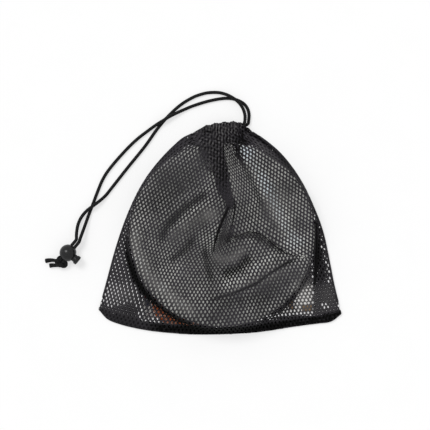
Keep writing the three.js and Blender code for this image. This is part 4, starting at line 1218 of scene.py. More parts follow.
# %% Knitted mesh
def knitted_mesh():
    """Near black in broad soft patches, paler where fuzz stands up, then by each point's painted light
    to grey above 0 and by its painted shade to black below it."""
    finish = new_finish("black_knitted_mesh", roughness=0.85, specular_ior_level=0.08, ior=1.5)
    place = add_node(finish, "TexCoord", output="Object")
    fuzz = add_node(finish, "TexNoise", {"Vector": place, "Scale": per_metre(0.5), "Detail": 3.0})
    wear_and_painted_light = add_node(finish, "TexNoise", {"Vector": place, "Scale": per_metre(26.0), "Detail": 3.0})
    share = add_node(finish, "MapRange", {0: wear_and_painted_light, 1: 0.35, 2: 0.7})
    low = add_node(finish, "Mix", {0: share, 6: srgb("#2a292b"), 7: srgb("#363438")}, **COLOUR)
    high = add_node(finish, "MapRange", {0: fuzz, 1: 0.45, 2: 0.75, 4: 0.5})
    shade = add_node(finish, "Mix", {0: high, 6: low, 7: srgb("#454247")}, **COLOUR)
    # Each point's painted light and shade: grey above 0, black below it.
    back = add_node(finish, "Attribute", output="Fac", attribute_name="painted_light_and_speckle")
    pale = add_node(finish, "MapRange", {0: back, 1: 0.0, 2: 1.9, 4: 1.0})
    shade = add_node(finish, "Mix", {0: pale, 6: shade, 7: srgb("#696767")}, **COLOUR)
    deep = add_node(finish, "MapRange", {0: back, 1: 0.0, 2: -1.0, 4: 1.0})
    shade = add_node(finish, "Mix", {0: deep, 6: shade, 7: srgb("#030303")}, **COLOUR)
    bump = add_node(finish, "Bump", {"Height": fuzz, "Distance": 0.12 * MM, "Strength": 0.7})
    lead(finish, base_color=shade, normal=bump)
    return finish


mesh_finish = knitted_mesh()


def make_net(name, layers, stands_for=()):
    """One piece from several net layers, with the yarn's thickness."""
    points, faces, wear_and_painted_light = joined(layers)
    piece = make_piece(name, points, faces, mesh_finish, stands_for=stands_for)
    add_values(piece, "painted_light_and_speckle", wear_and_painted_light)
    add_wall(piece, YARN_THICKNESS, 0.0)
    return piece


# %% [markdown]
# ### How the mesh leans
# The neck is drawn shut, so the upper half of the front has far more cloth than room. Two parts
# of it lean towards the neck: the left one by 17 degrees, and the right one by up to 27. Between
# them the spare cloth is folded away in a wedge, and the right part ends below in a crease. In
# the lower half the columns only fan out a little. Across each crease the mesh is nipped in too.


# %% Leaning columns
# Leans: x and degrees. The crease's points are (x, y), those of the parting line (y, x).
LEAN_LOW = np.array([[-90, 16], [-46, 5], [-24, 3], [-2, -4], [20, -7]])
LEAN_RIGHT = np.array([[10, -15], [24, -17], [48, -27]])
LEAN_LEFT = np.radians(17)
RIGHT_CREASE = np.array([[4, -16], [8, -13], [20, -7], [30, -3.7], [41.7, -7], [51.7, -15.3],
                         [66.7, -25.3], [86, -29], [125, -36]])
PART_LINE = np.array([[-16, 6.7], [1.3, 11.7], [20, 12], [42, 5], [62, 0], [80, -3], [92, -2],
                      [110, 5]])
# Each valley of the mesh is nipped: its half width, the pull towards it, and its line.
NIPS = [(fold[0], 0.4 * fold[0], fold[3]) for fold in YARN_FOLDS if fold[1] > 0]


def fanned(u, v, lean, base, middle):
    """Straight columns that lean by an angle of u, and rows square to them. The base row's way is
    the integral of (cos, -sin) of the lean, so cells keep their size there."""
    steps = np.linspace(-200, 200, 2001)
    angle = np.radians(np.interp(steps, *lean.T))
    row_x = np.cumsum(np.cos(angle)) * 0.2
    row_y = -np.cumsum(np.sin(angle)) * 0.2
    row_x += middle - np.interp(middle, steps, row_x)
    row_y += base - np.interp(middle, steps, row_y)
    here = np.interp(u, steps, angle)
    x = np.interp(u, steps, row_x) + (v - base) * np.sin(here)
    return x, np.interp(u, steps, row_y) + (v - base) * np.cos(here)


def nipped(x, y):
    """Moves places towards each crease by p·tanh(d / w)·exp(-(d / 3w)²), d away from it. The same
    is done towards the rim, where the mesh is seen edge-on as it hangs down, and at the neck."""
    for width, pull, line in NIPS:
        away, along, off_x, off_y = near_line(x, y, line)
        distance = np.maximum(np.abs(away), 1e-6)
        fade = smoothstep(0, 0.12, along) * smoothstep(0, 0.12, 1 - along)
        near = np.exp(-((distance / (3 * width)) ** 2))
        share = pull * fade * np.tanh(distance / width) * near / distance
        x, y = x - share * off_x, y - share * off_y
    radius = from_pack(x, y)
    past = (radius - 95.5) / 4
    share = 3.2 * (0.25 + rim_shade(x, y)) * np.tanh(past) * np.exp(-((past / 3) ** 2))
    share = share / np.maximum(radius, 1)
    x, y = x - share * (x - PACK_CENTRE[0]), y - share * (y - PACK_CENTRE[1])
    squeeze = 0.5 * smoothstep(76, 98, y) * np.exp(-(((x - NECK_X) / 45) ** 4))
    return x - squeeze * (x - NECK_X), y


def main_part(u, v):
    """The lower half, which goes over into the left part: one mapping turned about a place on the
    left that both share."""
    x, y = fanned(u, v, LEAN_LOW, -60.0, -13.0)
    join_u, join_v = np.array([-80.0]), np.array([-20.0])
    join_x, join_y = fanned(join_u, join_v, LEAN_LOW, -60.0, -13.0)
    c, s = np.cos(LEAN_LEFT), np.sin(LEAN_LEFT)
    left_x = join_x + (u - join_u) * c + (v - join_v) * s
    left_y = join_y - (u - join_u) * s + (v - join_v) * c
    share = smoothstep(-50, 15, v) * smoothstep(20, -20, u)
    return nipped(x + share * (left_x - x), y + share * (left_y - y))


def right_part(u, v):
    """The part right of the parting, nipped towards its creases."""
    return nipped(*fanned(u, v, LEAN_RIGHT, 10.0, 45.0))


def on_right(x, y):
    """True right of the parting line and above the crease."""
    return (x > np.interp(y, *PART_LINE.T)) & (y > np.interp(x, *RIGHT_CREASE.T))


# %% [markdown]
# ### Front and back panels
# The front panel is made of the two parts, cut off where they meet. The back panel lies flat on
# the floor in one part, a fraction of a cell away from the front, as two cloths never lie hole on
# hole.

# %% Front and back panels
BACK_HEIGHT, OVER_BACK = 0.35, 0.9  # of the back panel, and of a layer that rests on it


def level(z):
    """The height function of a layer that lies flat."""
    return lambda x, y: np.full_like(x, z)


front_net = make_net("bag_front_net", [
    net_layer(lambda x, y: in_bag(x, y, 1.0) & ~on_right(x, y), front_height, main_part, reach=210),
    net_layer(lambda x, y: in_bag(x, y, 1.0) & on_right(x, y), front_height, right_part, reach=210),
], stands_for=["bag_front_panel"])
back_net = make_net("bag_back_net", [
    net_layer(lambda x, y: in_bag(x, y, 1.0), level(BACK_HEIGHT), main_part, shift=(0.4, 0.2),
              reach=210, seed=2),
], stands_for=["bag_back_panel"])

# %% [markdown]
# ### Folded layers
# Spare cloth lies in more layers on and under the front panel, and where layers cross, their holes
# close and the bag looks black: in the wedge below the neck, in a second pleat beside it, round the
# neck, along both shoulders, in the tuck at the right, in the slack at the left, in both corners and
# at the foot of the rim. Each region is a function that says which places belong to it.

# %% Regions at the neck
WEDGE_LEFT = np.array([[20, 9], [40, -4], [58, -10], [66, -17], [78, -22], [92, -25]])
CORE_LEFT = np.array([[20, 9], [26, 4], [31, 0], [40, -4], [58, -6], [66, -9], [78, -15], [92, -20]])
WEDGE_RIGHT = np.array([[20, 13.5], [31, 12.5], [40, 10.5], [56, 7.5], [78, 3], [92, 6]])


def in_wedge(x, y):
    """The pleat below the neck: between two lines of (y, x) points."""
    return (x > np.interp(y, *WEDGE_LEFT.T)) & (x < np.interp(y, *WEDGE_RIGHT.T)) & (y > 20)


def in_core(x, y):
    """The tightly gathered right half of that pleat."""
    return in_wedge(x, y) & (x > np.interp(y, *CORE_LEFT.T))


SECOND_PLEAT = [(14, 90), (17, 78), (20, 68), (25, 58)]


def in_second_pleat(x, y):
    """A narrow strip along the second pleat, which dies out below."""
    away, along, _, _ = near_line(x, y, SECOND_PLEAT)
    return np.abs(away) < 4 - 3 * along


def crowded(u, v):
    """Squeezes places to a third of their distance from the middle of the core."""
    middle = (np.interp(v, *CORE_LEFT.T) + np.interp(v, *WEDGE_RIGHT.T)) / 2
    return middle + (u - middle) / 3, v


NECK_LOWER = np.array([[-32, 86], [-18, 80], [0, 78], [12, 81], [15, 84], [32, 83]])


def in_neck(x, y):
    """The cloth gathered round the neck, above a line of (x, y) points."""
    return (y > np.interp(x, *NECK_LOWER.T)) & (np.abs(x - 6) < 36) & in_bag(x, y, 1.5)


def in_shoulders(x, y):
    """Bands of turned-over cloth along both upper edges, wider towards the neck."""
    inset = edge_inset(x, y)
    width = np.where(x > 0, 4 + 9 * smoothstep(36, 78, y), 3 + 6 * smoothstep(45, 78, y))
    return (inset > 0.8) & (inset < width) & (y > 22)


# %% [markdown]
# Round the pack the same is done with distances: from the pack's middle, and from the outline.

# %% Regions round the pack
TUCK_RIGHT = np.array([[-57, 104], [-48, 108], [-38, 105], [-20, 101], [0, 98.5], [8, 97.5]])


def in_tuck(x, y):
    """The strip at the right where spare cloth is folded under, left of a line of (y, x) points."""
    return (x > 93) & (x < np.interp(y, *TUCK_RIGHT.T)) & (y < 6) & (y > -55) & in_bag(x, y, 3.0)


def in_left_slack(x, y):
    """Spare cloth between the pack's left rim and the bag's edge."""
    radius = from_pack(x, y)
    return (radius > 93) & (x < -60) & (y < 15) & (y > -54 + 2 * np.sin(x / 5)) & in_bag(x, y, 2.0)


def in_corners(x, y):
    """The hem's allowance stands up higher in both corners, with one gap in the right one."""
    left = (x < -82) & (y < -77 + 1.5 * np.sin(x / 4))
    right = (x > 93) & (y < -54 + 1.5 * np.sin(x / 3)) & ~((np.abs(x - 104.5) < 3.5) & (np.abs(y + 78) < 4))
    return (left | right) & in_bag(x, y, 2.0)


def down_rim(x, y):
    """The cloth gathered at the foot of the rim, where the mesh hangs down it. Over the ball it
    lies closer."""
    radius = from_pack(x, y)
    return (radius > 92.4) & (radius < 92.4 + (6.5 - 4 * smoothstep(-62, -76, y)) * rim_shade(x, y))


# %% [markdown]
# Each layer now gets its region, its height, its own warp or turn, and holes of its own size,
# smaller where the cloth is pulled together.


# %% Folded layers
def under_front(drop):
    """The height function of a layer that far below the front panel, or above it if negative."""
    return lambda x, y: front_height(x, y) - drop


def part_way(share):
    """The height function of a layer that share of the way from the back to the front panel."""
    return lambda x, y: OVER_BACK + (front_height(x, y) - OVER_BACK) * share


# Each layer's shade value is painted: below 0 painted shade, above 0 painted light.
fold_layers = [
    net_layer(lambda x, y: in_wedge(x, y) & (y > 58), under_front(-0.42), nipped, -0.1, (1.3, 0.7), seed=3),
    net_layer(in_core, under_front(-0.75), crowded, 0.0, (0.6, 0.2), seed=9),
    net_layer(in_core, under_front(-0.2), crowded, 0.05, (1.6, 1.2), seed=10),
    net_layer(in_second_pleat, under_front(-0.4), None, 0.3, (0.3, 0.9), hole=0.8, shade=-0.3, seed=14),
    net_layer(in_neck, under_front(0.6), nipped, -0.16, (0.9, 1.5), shade=-0.9, seed=4),
    net_layer(in_neck, under_front(1.3), nipped, 0.22, (2.1, 0.4), hole=0.6, shade=-1.2, seed=5),
    net_layer(in_shoulders, part_way(0.6), None, 0.35, (0.4, 0.9), hole=0.6, shade=-0.2, seed=6),
    net_layer(in_shoulders, part_way(0.75), None, -0.3, (1.4, 0.2), hole=0.6, shade=-0.2, seed=17),
    net_layer(in_tuck, part_way(0.55), main_part, reach=210, hole=0.35, shade=-0.2, seed=7),
    net_layer(in_tuck, part_way(0.4), None, -0.08, (1.5, 0.3), shade=-0.4, seed=8),
    net_layer(in_left_slack, part_way(0.5), main_part, reach=210, hole=0.6, shade=0.3, seed=15),
    net_layer(in_corners, part_way(0.5), main_part, reach=210, hole=0.25, shade=0.4, seed=19),
    net_layer(down_rim, part_way(0.8), None, 0.4, (0.2, 1.3), hole=0.5, shade=-0.8, seed=16),
    net_layer(down_rim, part_way(0.6), None, -0.2, (1.1, 0.6), hole=0.5, shade=-0.8, seed=18),
]
folds = make_net("bag_front_net_folds", fold_layers)

# %% [markdown]
# ### Pinched folds
# Where a fold is pinched shut, a thin strip stands for its rolled edge, and it carries the darkest
# painted shade, for the shadow inside the fold, so it shows as a thin dark line. Two run down from the
# wedge, one down the tuck at the right, and one along the crease, where the front's two parts meet.

# %% Pinched folds
# Each: half width and line of points.
PINCHED = [
    (1.2, [(12.5, 32), (8.5, 21), (3, 9), (-1, -1), (-5, -14), (-7, -24)]),
    (0.6, [(14.5, 30), (14.5, 18), (13, 8), (11, 0)]),
    (2.0, [(95.2, 8), (95.4, -16), (95.0, -38), (94.2, -58)]),
    (0.45, RIGHT_CREASE[:8]),
]


def strip(path, half_width, half_height):
    """A closed band along a path: an oval section, with a width and a height for each place."""
    forward = unit(np.gradient(path, axis=0))
    across = unit(np.cross(forward, UP))
    a = np.linspace(0, 2 * np.pi, 16, endpoint=False)[None]
    ring = (half_width[:, None] * np.cos(a))[..., None] * across[:, None]
    ring = ring + (half_height[:, None] * np.sin(a))[..., None] * UP
    return (path[:, None] + ring).reshape(-1, 3), grid_faces(len(path), 16, wrap_columns=True)[:, ::-1]


def pinched_fold(half_width, line):
    """A strip that follows the front's height, as wide as √(4t - 4t²), so that it ends in points. All its
    points get the darkest painted shade.
    """
    path = spline(np.column_stack([line, np.zeros(len(line))]), 0.5)
    path[:, 2] = front_height(path[:, 0], path[:, 1]) + 0.3
    t = np.linspace(0, 1, len(path))
    width = half_width * np.sqrt(4 * t * (1 - t)) * (1 + 0.15 * np.sin(np.arange(len(path)) / 0.9))
    points, faces = strip(path, width, 0.45 * width)
    return points, faces, np.full(len(points), DARK)


points, faces, dark = joined([pinched_fold(width, line) for width, line in PINCHED])
pinches = make_piece("bag_front_pinched_folds", points, faces, mesh_finish)
add_values(pinches, "painted_light_and_speckle", dark)
merged(pinches)

# %% [markdown]
# ### Hem and seams
# Along the bottom the cloth is turned in and sewn down, so three more layers of the same mesh lie
# under the front one, with a row of lockstitches along their inner edge. A stitch is a lens of
# thread: a few rings that narrow to both ends.


# %% Turned hem
def above_hem(x, y):
    """True above the hem's inner edge."""
    return y > np.interp(x, *HEM_TOP.T)


def in_hem(x, y):
    """Under the pack the hem's allowance lies higher, on both sides of the middle."""
    rise = 9 * np.exp(-(((x + 31) / 20) ** 4)) + 2.5 * np.exp(-(((x - 55) / 35) ** 4))
    return ~above_hem(x, y - rise) & in_bag(x, y, 1.2) & (y < -78)


# The hem's layers carry a little painted shade.
hem_layers = [net_layer(in_hem, level(z), turn=turn, shift=shift, hole=0.55, shade=-0.2, seed=seed)
              for z, turn, shift, seed in ((1.3, 0.05, (0.4, 1.2), 11), (1.9, -0.04, (1.7, 0.3), 12),
                                           (2.4, 0.02, (0.9, 0.8), 13))]


def beads(places, along, half_length, radius, sides=8, rings=7):
    """A lens of thread at each place: rings across the direction along it, narrow at both ends."""
    t = np.linspace(-1, 1, rings)[None, :, None, None]
    a = np.linspace(0, 2 * np.pi, sides, endpoint=False)[None, None, :, None]
    along = along[:, None, None]
    across = unit(np.cross(along, UP))
    over = np.cross(along, across)
    size = radius * np.sqrt(np.clip(1.0001 - t**2, 0, 1))
    around = np.cos(a) * across + np.sin(a) * over
    points = places[:, None, None] + half_length * t * along + size * around
    ring = grid_faces(rings, sides, wrap_columns=True)[:, ::-1]
    faces = (ring[None] + (np.arange(len(places)) * rings * sides)[:, None, None]).reshape(-1, 4)
    return points.reshape(-1, 3), faces


STITCH_PITCH, STITCH_HALF, THREAD_RADIUS = 3.2, 1.35, 0.3
hem_line = spline(np.column_stack([HEM_TOP, np.full(len(HEM_TOP), 3.0)]), STITCH_PITCH)[1:-1]
make_net("bag_turned_hem", hem_layers, stands_for=["bag_bottom_hem"])
points, faces = beads(hem_line + [0, -1.2, 0.25], unit(np.gradient(hem_line, axis=0)), STITCH_HALF,
                      THREAD_RADIUS)
make_piece("hem_lockstitches", points, faces, mesh_finish)

# %% [markdown]
# The two sides are overlocked: thread runs round the cut edges in close loops, which makes a narrow
# ribbed strip. The hem's lower edge is folded cloth, with the same strip made narrower and
# smoother.

# %% Overlocked seams
LOOP_PITCH = 1.25
SEAM_HEIGHT = 1.75
SEAM_INSET = 1.2


def overlocked(points_xy, ribs=1.0, half_width=0.9, count_per_mm=2.5):
    """A flat strip along an edge: an oval section that swells over each loop of thread by
    |sin(π · run / pitch)|, and thins out at both ends."""
    path = spline(np.column_stack([points_xy, np.full(len(points_xy), SEAM_HEIGHT)]), 1 / count_per_mm)
    run = np.arange(len(path)) / count_per_mm
    rib = ribs * np.abs(np.sin(np.pi * run / LOOP_PITCH))
    end = np.sqrt(np.minimum(1, np.minimum(run, run[::-1])))
    return strip(path, end * (half_width + 0.18 * rib), end * (0.5 + 0.22 * rib))


def edge_points(side):
    """Every outline point of one side between the hem and the neck, moved in from the edge."""
    free = OUTLINE[(OUTLINE[:, 1] > -77) & (OUTLINE[:, 1] < 96.5) & (OUTLINE[:, 0] * side > 0)]
    free = free[np.argsort(free[:, 1])]
    return free - unit(free - PACK_CENTRE) * SEAM_INSET


bottom = OUTLINE[OUTLINE[:, 1] < np.interp(OUTLINE[:, 0], [-118, 118], [-77, -81])]
bottom = bottom[np.argsort(bottom[:, 0])]
points, faces = overlocked(bottom - unit(bottom - PACK_CENTRE) * SEAM_INSET, 0.6, 0.8)
merged(make_piece("bag_hem_folded_edge", points, faces, mesh_finish))

for side_name, side in (("left", -1), ("right", 1)):
    points, faces = overlocked(edge_points(side))
    merged(make_piece(f"bag_{side_name}_overlocked_seam", points, faces, mesh_finish,
                      stands_for=[f"bag_{side_name}_seam"]))

# %% [markdown]
# ### Drawn neck
# The cord runs in a channel folded round the bag's mouth. Drawn shut, the channel doubles back on
# itself, and four times its length of mesh is pushed together on it, in pleats. The lattice is
# bent round a tube for this: one direction of it goes along the doubled path and is squeezed four
# times, and the other goes once round the section, whose length is a whole number of cells.

# %% Channel
CHANNEL_LEFT, CHANNEL_RIGHT = -10.6, 21.5
LEG = CHANNEL_RIGHT - CHANNEL_LEFT
LOWER_LEG, UPPER_LEG = 2.75, 8.25
TURN_RADIUS = (UPPER_LEG - LOWER_LEG) / 2
TURN_LENGTH = np.pi * TURN_RADIUS
CHANNEL_LENGTH = 2 * LEG + TURN_LENGTH
GATHER = 4.0
NECK_BOTTOM = 97.4


def on_channel(run):
    """Place on the doubled path and the way out of its bend: along the upper leg, round the half
    circle and back along the lower leg."""
    angle = np.clip((run - LEG) / TURN_RADIUS, 0, np.pi)
    x = np.where(run < LEG, CHANNEL_RIGHT - run, CHANNEL_LEFT + np.maximum(run - LEG - TURN_LENGTH, 0))
    x = x - TURN_RADIUS * np.sin(angle)
    z = (UPPER_LEG + LOWER_LEG) / 2 + TURN_RADIUS * np.cos(angle)
    return x, z, -np.sin(angle), np.cos(angle)


def neck_sleeve(rounds=6, size=1.0, phase=0.0, seed=21):
    """The lattice (u, v) round the channel: u / 4 along it, and v / perimeter of a turn round an
    oval, 8 by 5 mm, that pleats 2.7, 8.9 and 1.7 mm long push in and out."""
    centres = cell_centres(np.arange(1, int(GATHER * CHANNEL_LENGTH / CELL_PITCH)), np.arange(rounds))
    slack = 1 + 0.15 * np.random.default_rng(seed).standard_normal((len(centres), 6, 1))
    outer, inner = CELL * SPOKES, 0.9 * HOLE * slack * SPOKES
    cells = np.concatenate([centres[:, None] + outer, centres[:, None] + inner], axis=1)
    around = rounds * ROW_PITCH
    cells[..., 1] %= around
    cells[..., 1] = np.where(cells[..., 1] > around - 0.0005, 0, cells[..., 1])
    flat, faces = holed_cells(cells)
    run, angle = flat[:, 0] / GATHER, 2 * np.pi * flat[:, 1] / around + phase
    pleat = (0.5 * np.cos(2 * np.pi * run / 2.7) + 0.35 * np.cos(2 * np.pi * run / 8.9 + 1.0)
             + 0.2 * np.cos(2 * np.pi * run / 1.7 + 2 * angle))
    x, z, out_x, out_z = on_channel(run)
    top = np.interp(x, *NECK_TOP.T) + 0.45 * pleat
    half = (top - NECK_BOTTOM) / 2
    y = NECK_BOTTOM + half + half * size * np.cos(angle)
    rise = 2.4 * size * np.sin(angle) * (1 + 0.08 * pleat)
    # The pleats' backs get painted light and their valleys painted shade.
    return np.stack([x + out_x * rise, y, z + out_z * rise], axis=-1), faces, 0.8 * pleat


make_net("bag_neck_channel", [neck_sleeve(), neck_sleeve(size=0.9, phase=0.4, seed=22)],
         stands_for=["neck_channel"])

# %% [markdown]
# The cord goes through the channel from end to end. At the mouth each end bends out of it, to meet
# the run that lies on the floor.

# %% The cord in the channel
FRONT_BEND = np.array([[3.3, 4.5, -1.25], [2.8, 2.2, -0.7], [1.4, 0.5, -0.2]])
BACK_BEND = np.array([[4.5, 0.4, -0.1], [6.6, 2.0, -0.3], [7.1, 4.5, -0.35]])
leg_x, leg_z, _, _ = on_channel(np.linspace(0, CHANNEL_LENGTH, 24))
legs = np.stack([leg_x, NECK_Y - 2.2 * smoothstep(4, -13, leg_x), leg_z], axis=1)
channel_path = spline(np.vstack([legs[0] + FRONT_BEND, legs, legs[-1] + BACK_BEND]))
make_cord("draw_cord_in_channel", channel_path, "channel_drawcord")

# %% [markdown]
# ## Ball and leaflet
# Two more things lie under the pack, and only a corner of each shows past its rim. The ball is let
# down and pressed flat, so it has the rounded square outline of a folded vinyl skin, a rolled edge
# and a few hard creases. It is made of rings, all on one outline.

# %% Flattened ball
BALL_HALF = np.array([42.0, 40.0])
BALL_FLOOR, BALL_TOP = 1.6, 5.6
VALVE_SOCKET = 3.1


def pressed_ball(sides=180):
    """Rings of the outline |x/a|⁴ + |y/b|⁴ = 1, from the valve's socket over the top and the
    rolled edge to the middle of the underside. Creases and puckers sink into the top."""
    roll = np.radians(np.linspace(10, 170, 17))
    share = np.concatenate([[0, 0.074, 0.076], np.linspace(0.08, 0.9, 46), 1 - 0.1 * (1 - np.sin(roll)),
                            np.linspace(0.9, 0, 14)])
    rise = np.concatenate([[0.45, 0.45, 1], np.ones(46), 0.5 + 0.5 * np.cos(roll), np.zeros(14)])
    angle = np.linspace(2 * np.pi, 0, sides, endpoint=False)
    c, s = np.cos(angle), np.sin(angle)
    edge = np.stack([np.sign(k) * np.sqrt(np.abs(k)) for k in (c, s)], axis=-1) * BALL_HALF
    round_edge = np.stack([c, s], axis=-1) * VALVE_SOCKET / 0.075
    blend = smoothstep(0.075, 0.35, share)[:, None, None]
    xy = BALL_CENTRE + share[:, None, None] * (round_edge + blend * (edge - round_edge))
    x, y = xy[..., 0], xy[..., 1]
    pucker = 0.35 * np.abs(ripple(x, y, 9, 31)) + 0.25 * np.abs(ripple(x, y, 24, 32))
    crease = (0.9 * np.exp(-((x + 55 + 0.35 * (y + 80)) / 1.4) ** 2)
              + 0.7 * np.exp(-((y + 86 - 0.3 * x - 18) / 1.2) ** 2))
    top = (smoothstep(0.09, 0.2, share) * smoothstep(0.0, 0.6, rise))[:, None]
    z = BALL_FLOOR + (BALL_TOP - BALL_FLOOR) * rise[:, None] - top * (pucker + crease)
    points = np.dstack([xy, np.maximum(z, BALL_FLOOR)])
    return points.reshape(-1, 3), grid_faces(len(share), sides, wrap_columns=True)


def pressed_vinyl():
    """Orange PVC film: soft gloss, with paler stress lines where it is creased, which in part are a painted
    highlight.
    """
    finish = new_finish("orange_vinyl_film", roughness=0.34, ior=1.53, coat_weight=0.15)
    place = add_node(finish, "TexCoord", output="Object")
    blotch = add_node(finish, "TexNoise", {"Vector": place, "Scale": per_metre(7.0), "Detail": 5.0})
    shade = add_node(finish, "Mix", {0: blotch, 6: srgb("#a34511"), 7: srgb("#d86c25")}, **COLOUR)
    line = add_node(finish, "TexVoronoi", {"Vector": place, "Scale": per_metre(9.0)},
                    output="Distance", feature="DISTANCE_TO_EDGE")
    # Paler lines: stress whitening, and in part a painted highlight.
    stress_and_painted_highlight = add_node(finish, "MapRange", {0: line, 1: 0.0, 2: 0.09, 3: 0.7, 4: 0.0})
    shade = add_node(finish, "Mix", {0: stress_and_painted_highlight, 6: shade, 7: srgb("#f6d9c6")}, **COLOUR)
    bump = add_node(finish, "Bump", {"Height": line, "Distance": 0.5 * MM, "Strength": 0.5})
    lead(finish, base_color=shade, normal=bump)
    return finish


points, faces = pressed_ball()
ball = merged(make_piece("pressed_ball", points, faces, pressed_vinyl(),
                         stands_for=["ball"]))
ball.data.set_sharp_from_angle(angle=np.radians(50))

# %% [markdown]
# The ball's valve stays as the solid has it, a small rubber plug in its socket. Rubber from the
# same kind of mould is duller than nylon, so it takes the moulded finish at a higher roughness.

# %% Valve plug
valve_finish = moulded_black("moulded_black_rubber_plug", "#1c1c1d", "#2c2c2d", 0.5)
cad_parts["ball_valve"].material_slots[0].material = valve_finish
print("ball_valve: finish", valve_finish.name)

# %% [markdown]
# ### Leaflet
# The leaflet is one sheet of coated paper with two folds, printed with plain blocks of ink. Each
# point of a fine grid knows its ink, and the finish turns that into a colour.

# %% Leaflet
PAPER_THICKNESS = 0.15
PAPER_HEIGHT = 1.22
LEAFLET_SIZE = np.array([169.6, 84.0])
LEAFLET_CENTRE = np.array([6.5, -45.0])
LEAFLET_TURN = np.radians(2.4)
# Printed blocks: left, bottom, width and height in mm from the sheet's centre, and the ink.
PRINTED_BLOCKS = [(-83, -30, 6, 7, 0.4), (-83, -22, 6, 4, 1.0), (-78, -20, 4, 9, 0.4), (-84, -12, 8, 3, 0.4),
                  (60.5, -38.5, 4.5, 12, 0.7), (73.5, -41.5, 10, 6.5, 0.7), (60, -10, 18, 3, 0.7)]


def paper_sheet(columns=240, rows=120):
    """A flat grid with two folds, a slight wave, and one corner that curls up past the pack's rim.
    Ink values fill plain rectangles."""
    u, v = np.meshgrid(np.linspace(-0.5, 0.5, columns) * LEAFLET_SIZE[0],
                       np.linspace(-0.5, 0.5, rows) * LEAFLET_SIZE[1])
    ink = np.zeros_like(u)
    for left, low, width, height, value in PRINTED_BLOCKS:
        ink = np.where((u > left) & (u < left + width) & (v > low) & (v < low + height), value, ink)
    z = (PAPER_HEIGHT + 0.05 * ripple(u, v, 60, 41) - 0.1 * np.exp(-(u / 0.8) ** 2)
         - 0.1 * np.exp(-((v + 14) / 0.8) ** 2))
    x = LEAFLET_CENTRE[0] + u * np.cos(LEAFLET_TURN) - v * np.sin(LEAFLET_TURN)
    y = LEAFLET_CENTRE[1] + u * np.sin(LEAFLET_TURN) + v * np.cos(LEAFLET_TURN)
    radius = from_pack(x, y)
    near_corner = smoothstep(38, 62, u) * smoothstep(-2, -22, v)
    z = z + near_corner * (2.0 * smoothstep(70, 92, radius) + 14 * smoothstep(91.5, 97, radius))
    z = np.minimum(z, np.maximum(front_height(x, y) - 0.6, PAPER_HEIGHT))
    return np.stack([x, y, z], axis=-1).reshape(-1, 3), grid_faces(rows, columns), ink.ravel()


def coated_paper():
    """White coated paper, offset printed: a smooth satin sheet, with ink in navy from 0.2, brown
    from 0.55 and red from 0.85."""
    finish = new_finish("coated_white_paper", roughness=0.42, ior=1.5)
    place = add_node(finish, "TexCoord", output="Object")
    ink = add_node(finish, "Attribute", output="Fac", attribute_name="ink")
    fibre = add_node(finish, "TexNoise", {"Vector": place, "Scale": per_metre(2.0), "Detail": 6.0})
    paper = add_node(finish, "Mix", {0: fibre, 6: srgb("#eceae6"), 7: srgb("#f8f7f4")}, **COLOUR)
    navy = add_node(finish, "Math", {0: ink, 1: 0.2}, operation="GREATER_THAN")
    brown = add_node(finish, "Math", {0: ink, 1: 0.55}, operation="GREATER_THAN")
    red = add_node(finish, "Math", {0: ink, 1: 0.85}, operation="GREATER_THAN")
    shade = add_node(finish, "Mix", {0: navy, 6: paper, 7: srgb("#262c46")}, **COLOUR)
    shade = add_node(finish, "Mix", {0: brown, 6: shade, 7: srgb("#7a6448")}, **COLOUR)
    shade = add_node(finish, "Mix", {0: red, 6: shade, 7: srgb("#6a2226")}, **COLOUR)
    bump = add_node(finish, "Bump", {"Height": fibre, "Distance": 0.03 * MM, "Strength": 0.3})
    lead(finish, base_color=shade, normal=bump)
    return finish


points, faces, ink = paper_sheet()
leaflet = make_piece("printed_leaflet", points, faces, coated_paper(),
                     stands_for=["leaflet"])
add_values(leaflet, "ink", ink)
add_wall(leaflet, PAPER_THICKNESS)

# %% [markdown]
# ## Floor and light
# The set lies on a white board. To the camera, to gloss and to glass it is lifted towards plain
# white by Light Path, which adds no light to the set. It is lifted only in part, so that the set's
# shadow stays.

# %% Stage
FLOOR_LIFT = 0.58


def seen_directly(finish):
    """1 for rays that come from the camera, from gloss or through glass, otherwise 0."""
    rays = [add_node(finish, "LightPath", output=kind)
            for kind in ("Is Camera Ray", "Is Glossy Ray", "Is Transmission Ray")]
    both = add_node(finish, "Math", {0: rays[0], 1: rays[1]}, operation="MAXIMUM")
    return add_node(finish, "Math", {0: both, 1: rays[2]}, operation="MAXIMUM")


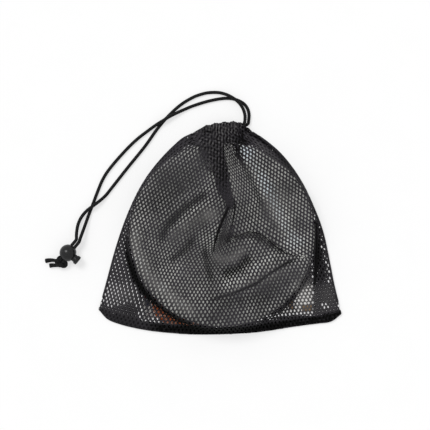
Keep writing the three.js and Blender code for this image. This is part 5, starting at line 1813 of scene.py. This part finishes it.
def matt_board():
    """White painted board, matt, with the finest mottle. A ray that sees it directly takes part of
    its colour from plain white, so that the shadow on it is nearly as faint as in the photograph."""
    finish = new_finish("matt_white_board", roughness=0.9, specular_ior_level=0.1)
    place = add_node(finish, "TexCoord", output="Object")
    mottle = add_node(finish, "TexNoise", {"Vector": place, "Scale": per_metre(40.0)})
    shade = add_node(finish, "Mix", {0: mottle, 6: srgb("#f7f7f7"), 7: srgb("#fbfbfb")}, **COLOUR)
    lead(finish, base_color=shade)
    lift = add_node(finish, "Math", {0: seen_directly(finish), 1: FLOOR_LIFT}, operation="MULTIPLY")
    white = add_node(finish, "Emission", {"Strength": 1.0}, output="Emission")
    board = finish.node_tree.nodes["Principled BSDF"].outputs["BSDF"]
    both = add_node(finish, "MixShader", {0: lift, 1: board, 2: white}, output="Shader")
    finish.node_tree.links.new(both, finish.node_tree.nodes["Material Output"].inputs["Surface"])
    return finish


FLOOR_HALF = 4000.0
corner = np.array([[-1, -1], [1, -1], [1, 1], [-1, 1]]) * FLOOR_HALF
floor_mesh = bpy.data.meshes.new("floor")
floor_mesh.from_pydata([(x * MM, y * MM, -0.05 * MM) for x, y in corner.tolist()], [], [(0, 1, 2, 3)])
floor_mesh.materials.append(matt_board())
floor = bpy.data.objects.new("floor", floor_mesh)
bpy.context.scene.collection.objects.link(floor)

# %% [markdown]
# A large room gives soft light from all sides, and one broad lamp at the upper left throws the
# set's shadow to the lower right. Together they light a level surface with about 1, so that a
# colour renders about as it is written. The room, too, looks plain white to rays that see it.

# %% Room and lamp
ROOM_LIGHT = 0.66
LAMP_LIGHT = 1.5
room = bpy.data.worlds.new("soft_room")
bpy.context.scene.world = room
room.use_nodes = True
background = room.node_tree.nodes["Background"]
background.inputs["Color"].default_value = (1, 1, 1, 1)
strength = add_node(room, "MapRange", {0: seen_directly(room), 3: ROOM_LIGHT, 4: 1.0})
room.node_tree.links.new(strength, background.inputs["Strength"])

lamp = bpy.data.lights.new("window", "SUN")
lamp.energy = LAMP_LIGHT
lamp.angle = np.radians(24)
window = bpy.data.objects.new("window", lamp)
window.rotation_euler = (np.radians(-24), np.radians(-26), 0)
bpy.context.scene.collection.objects.link(window)
print(f"room {ROOM_LIGHT}, lamp {LAMP_LIGHT} W/m2")
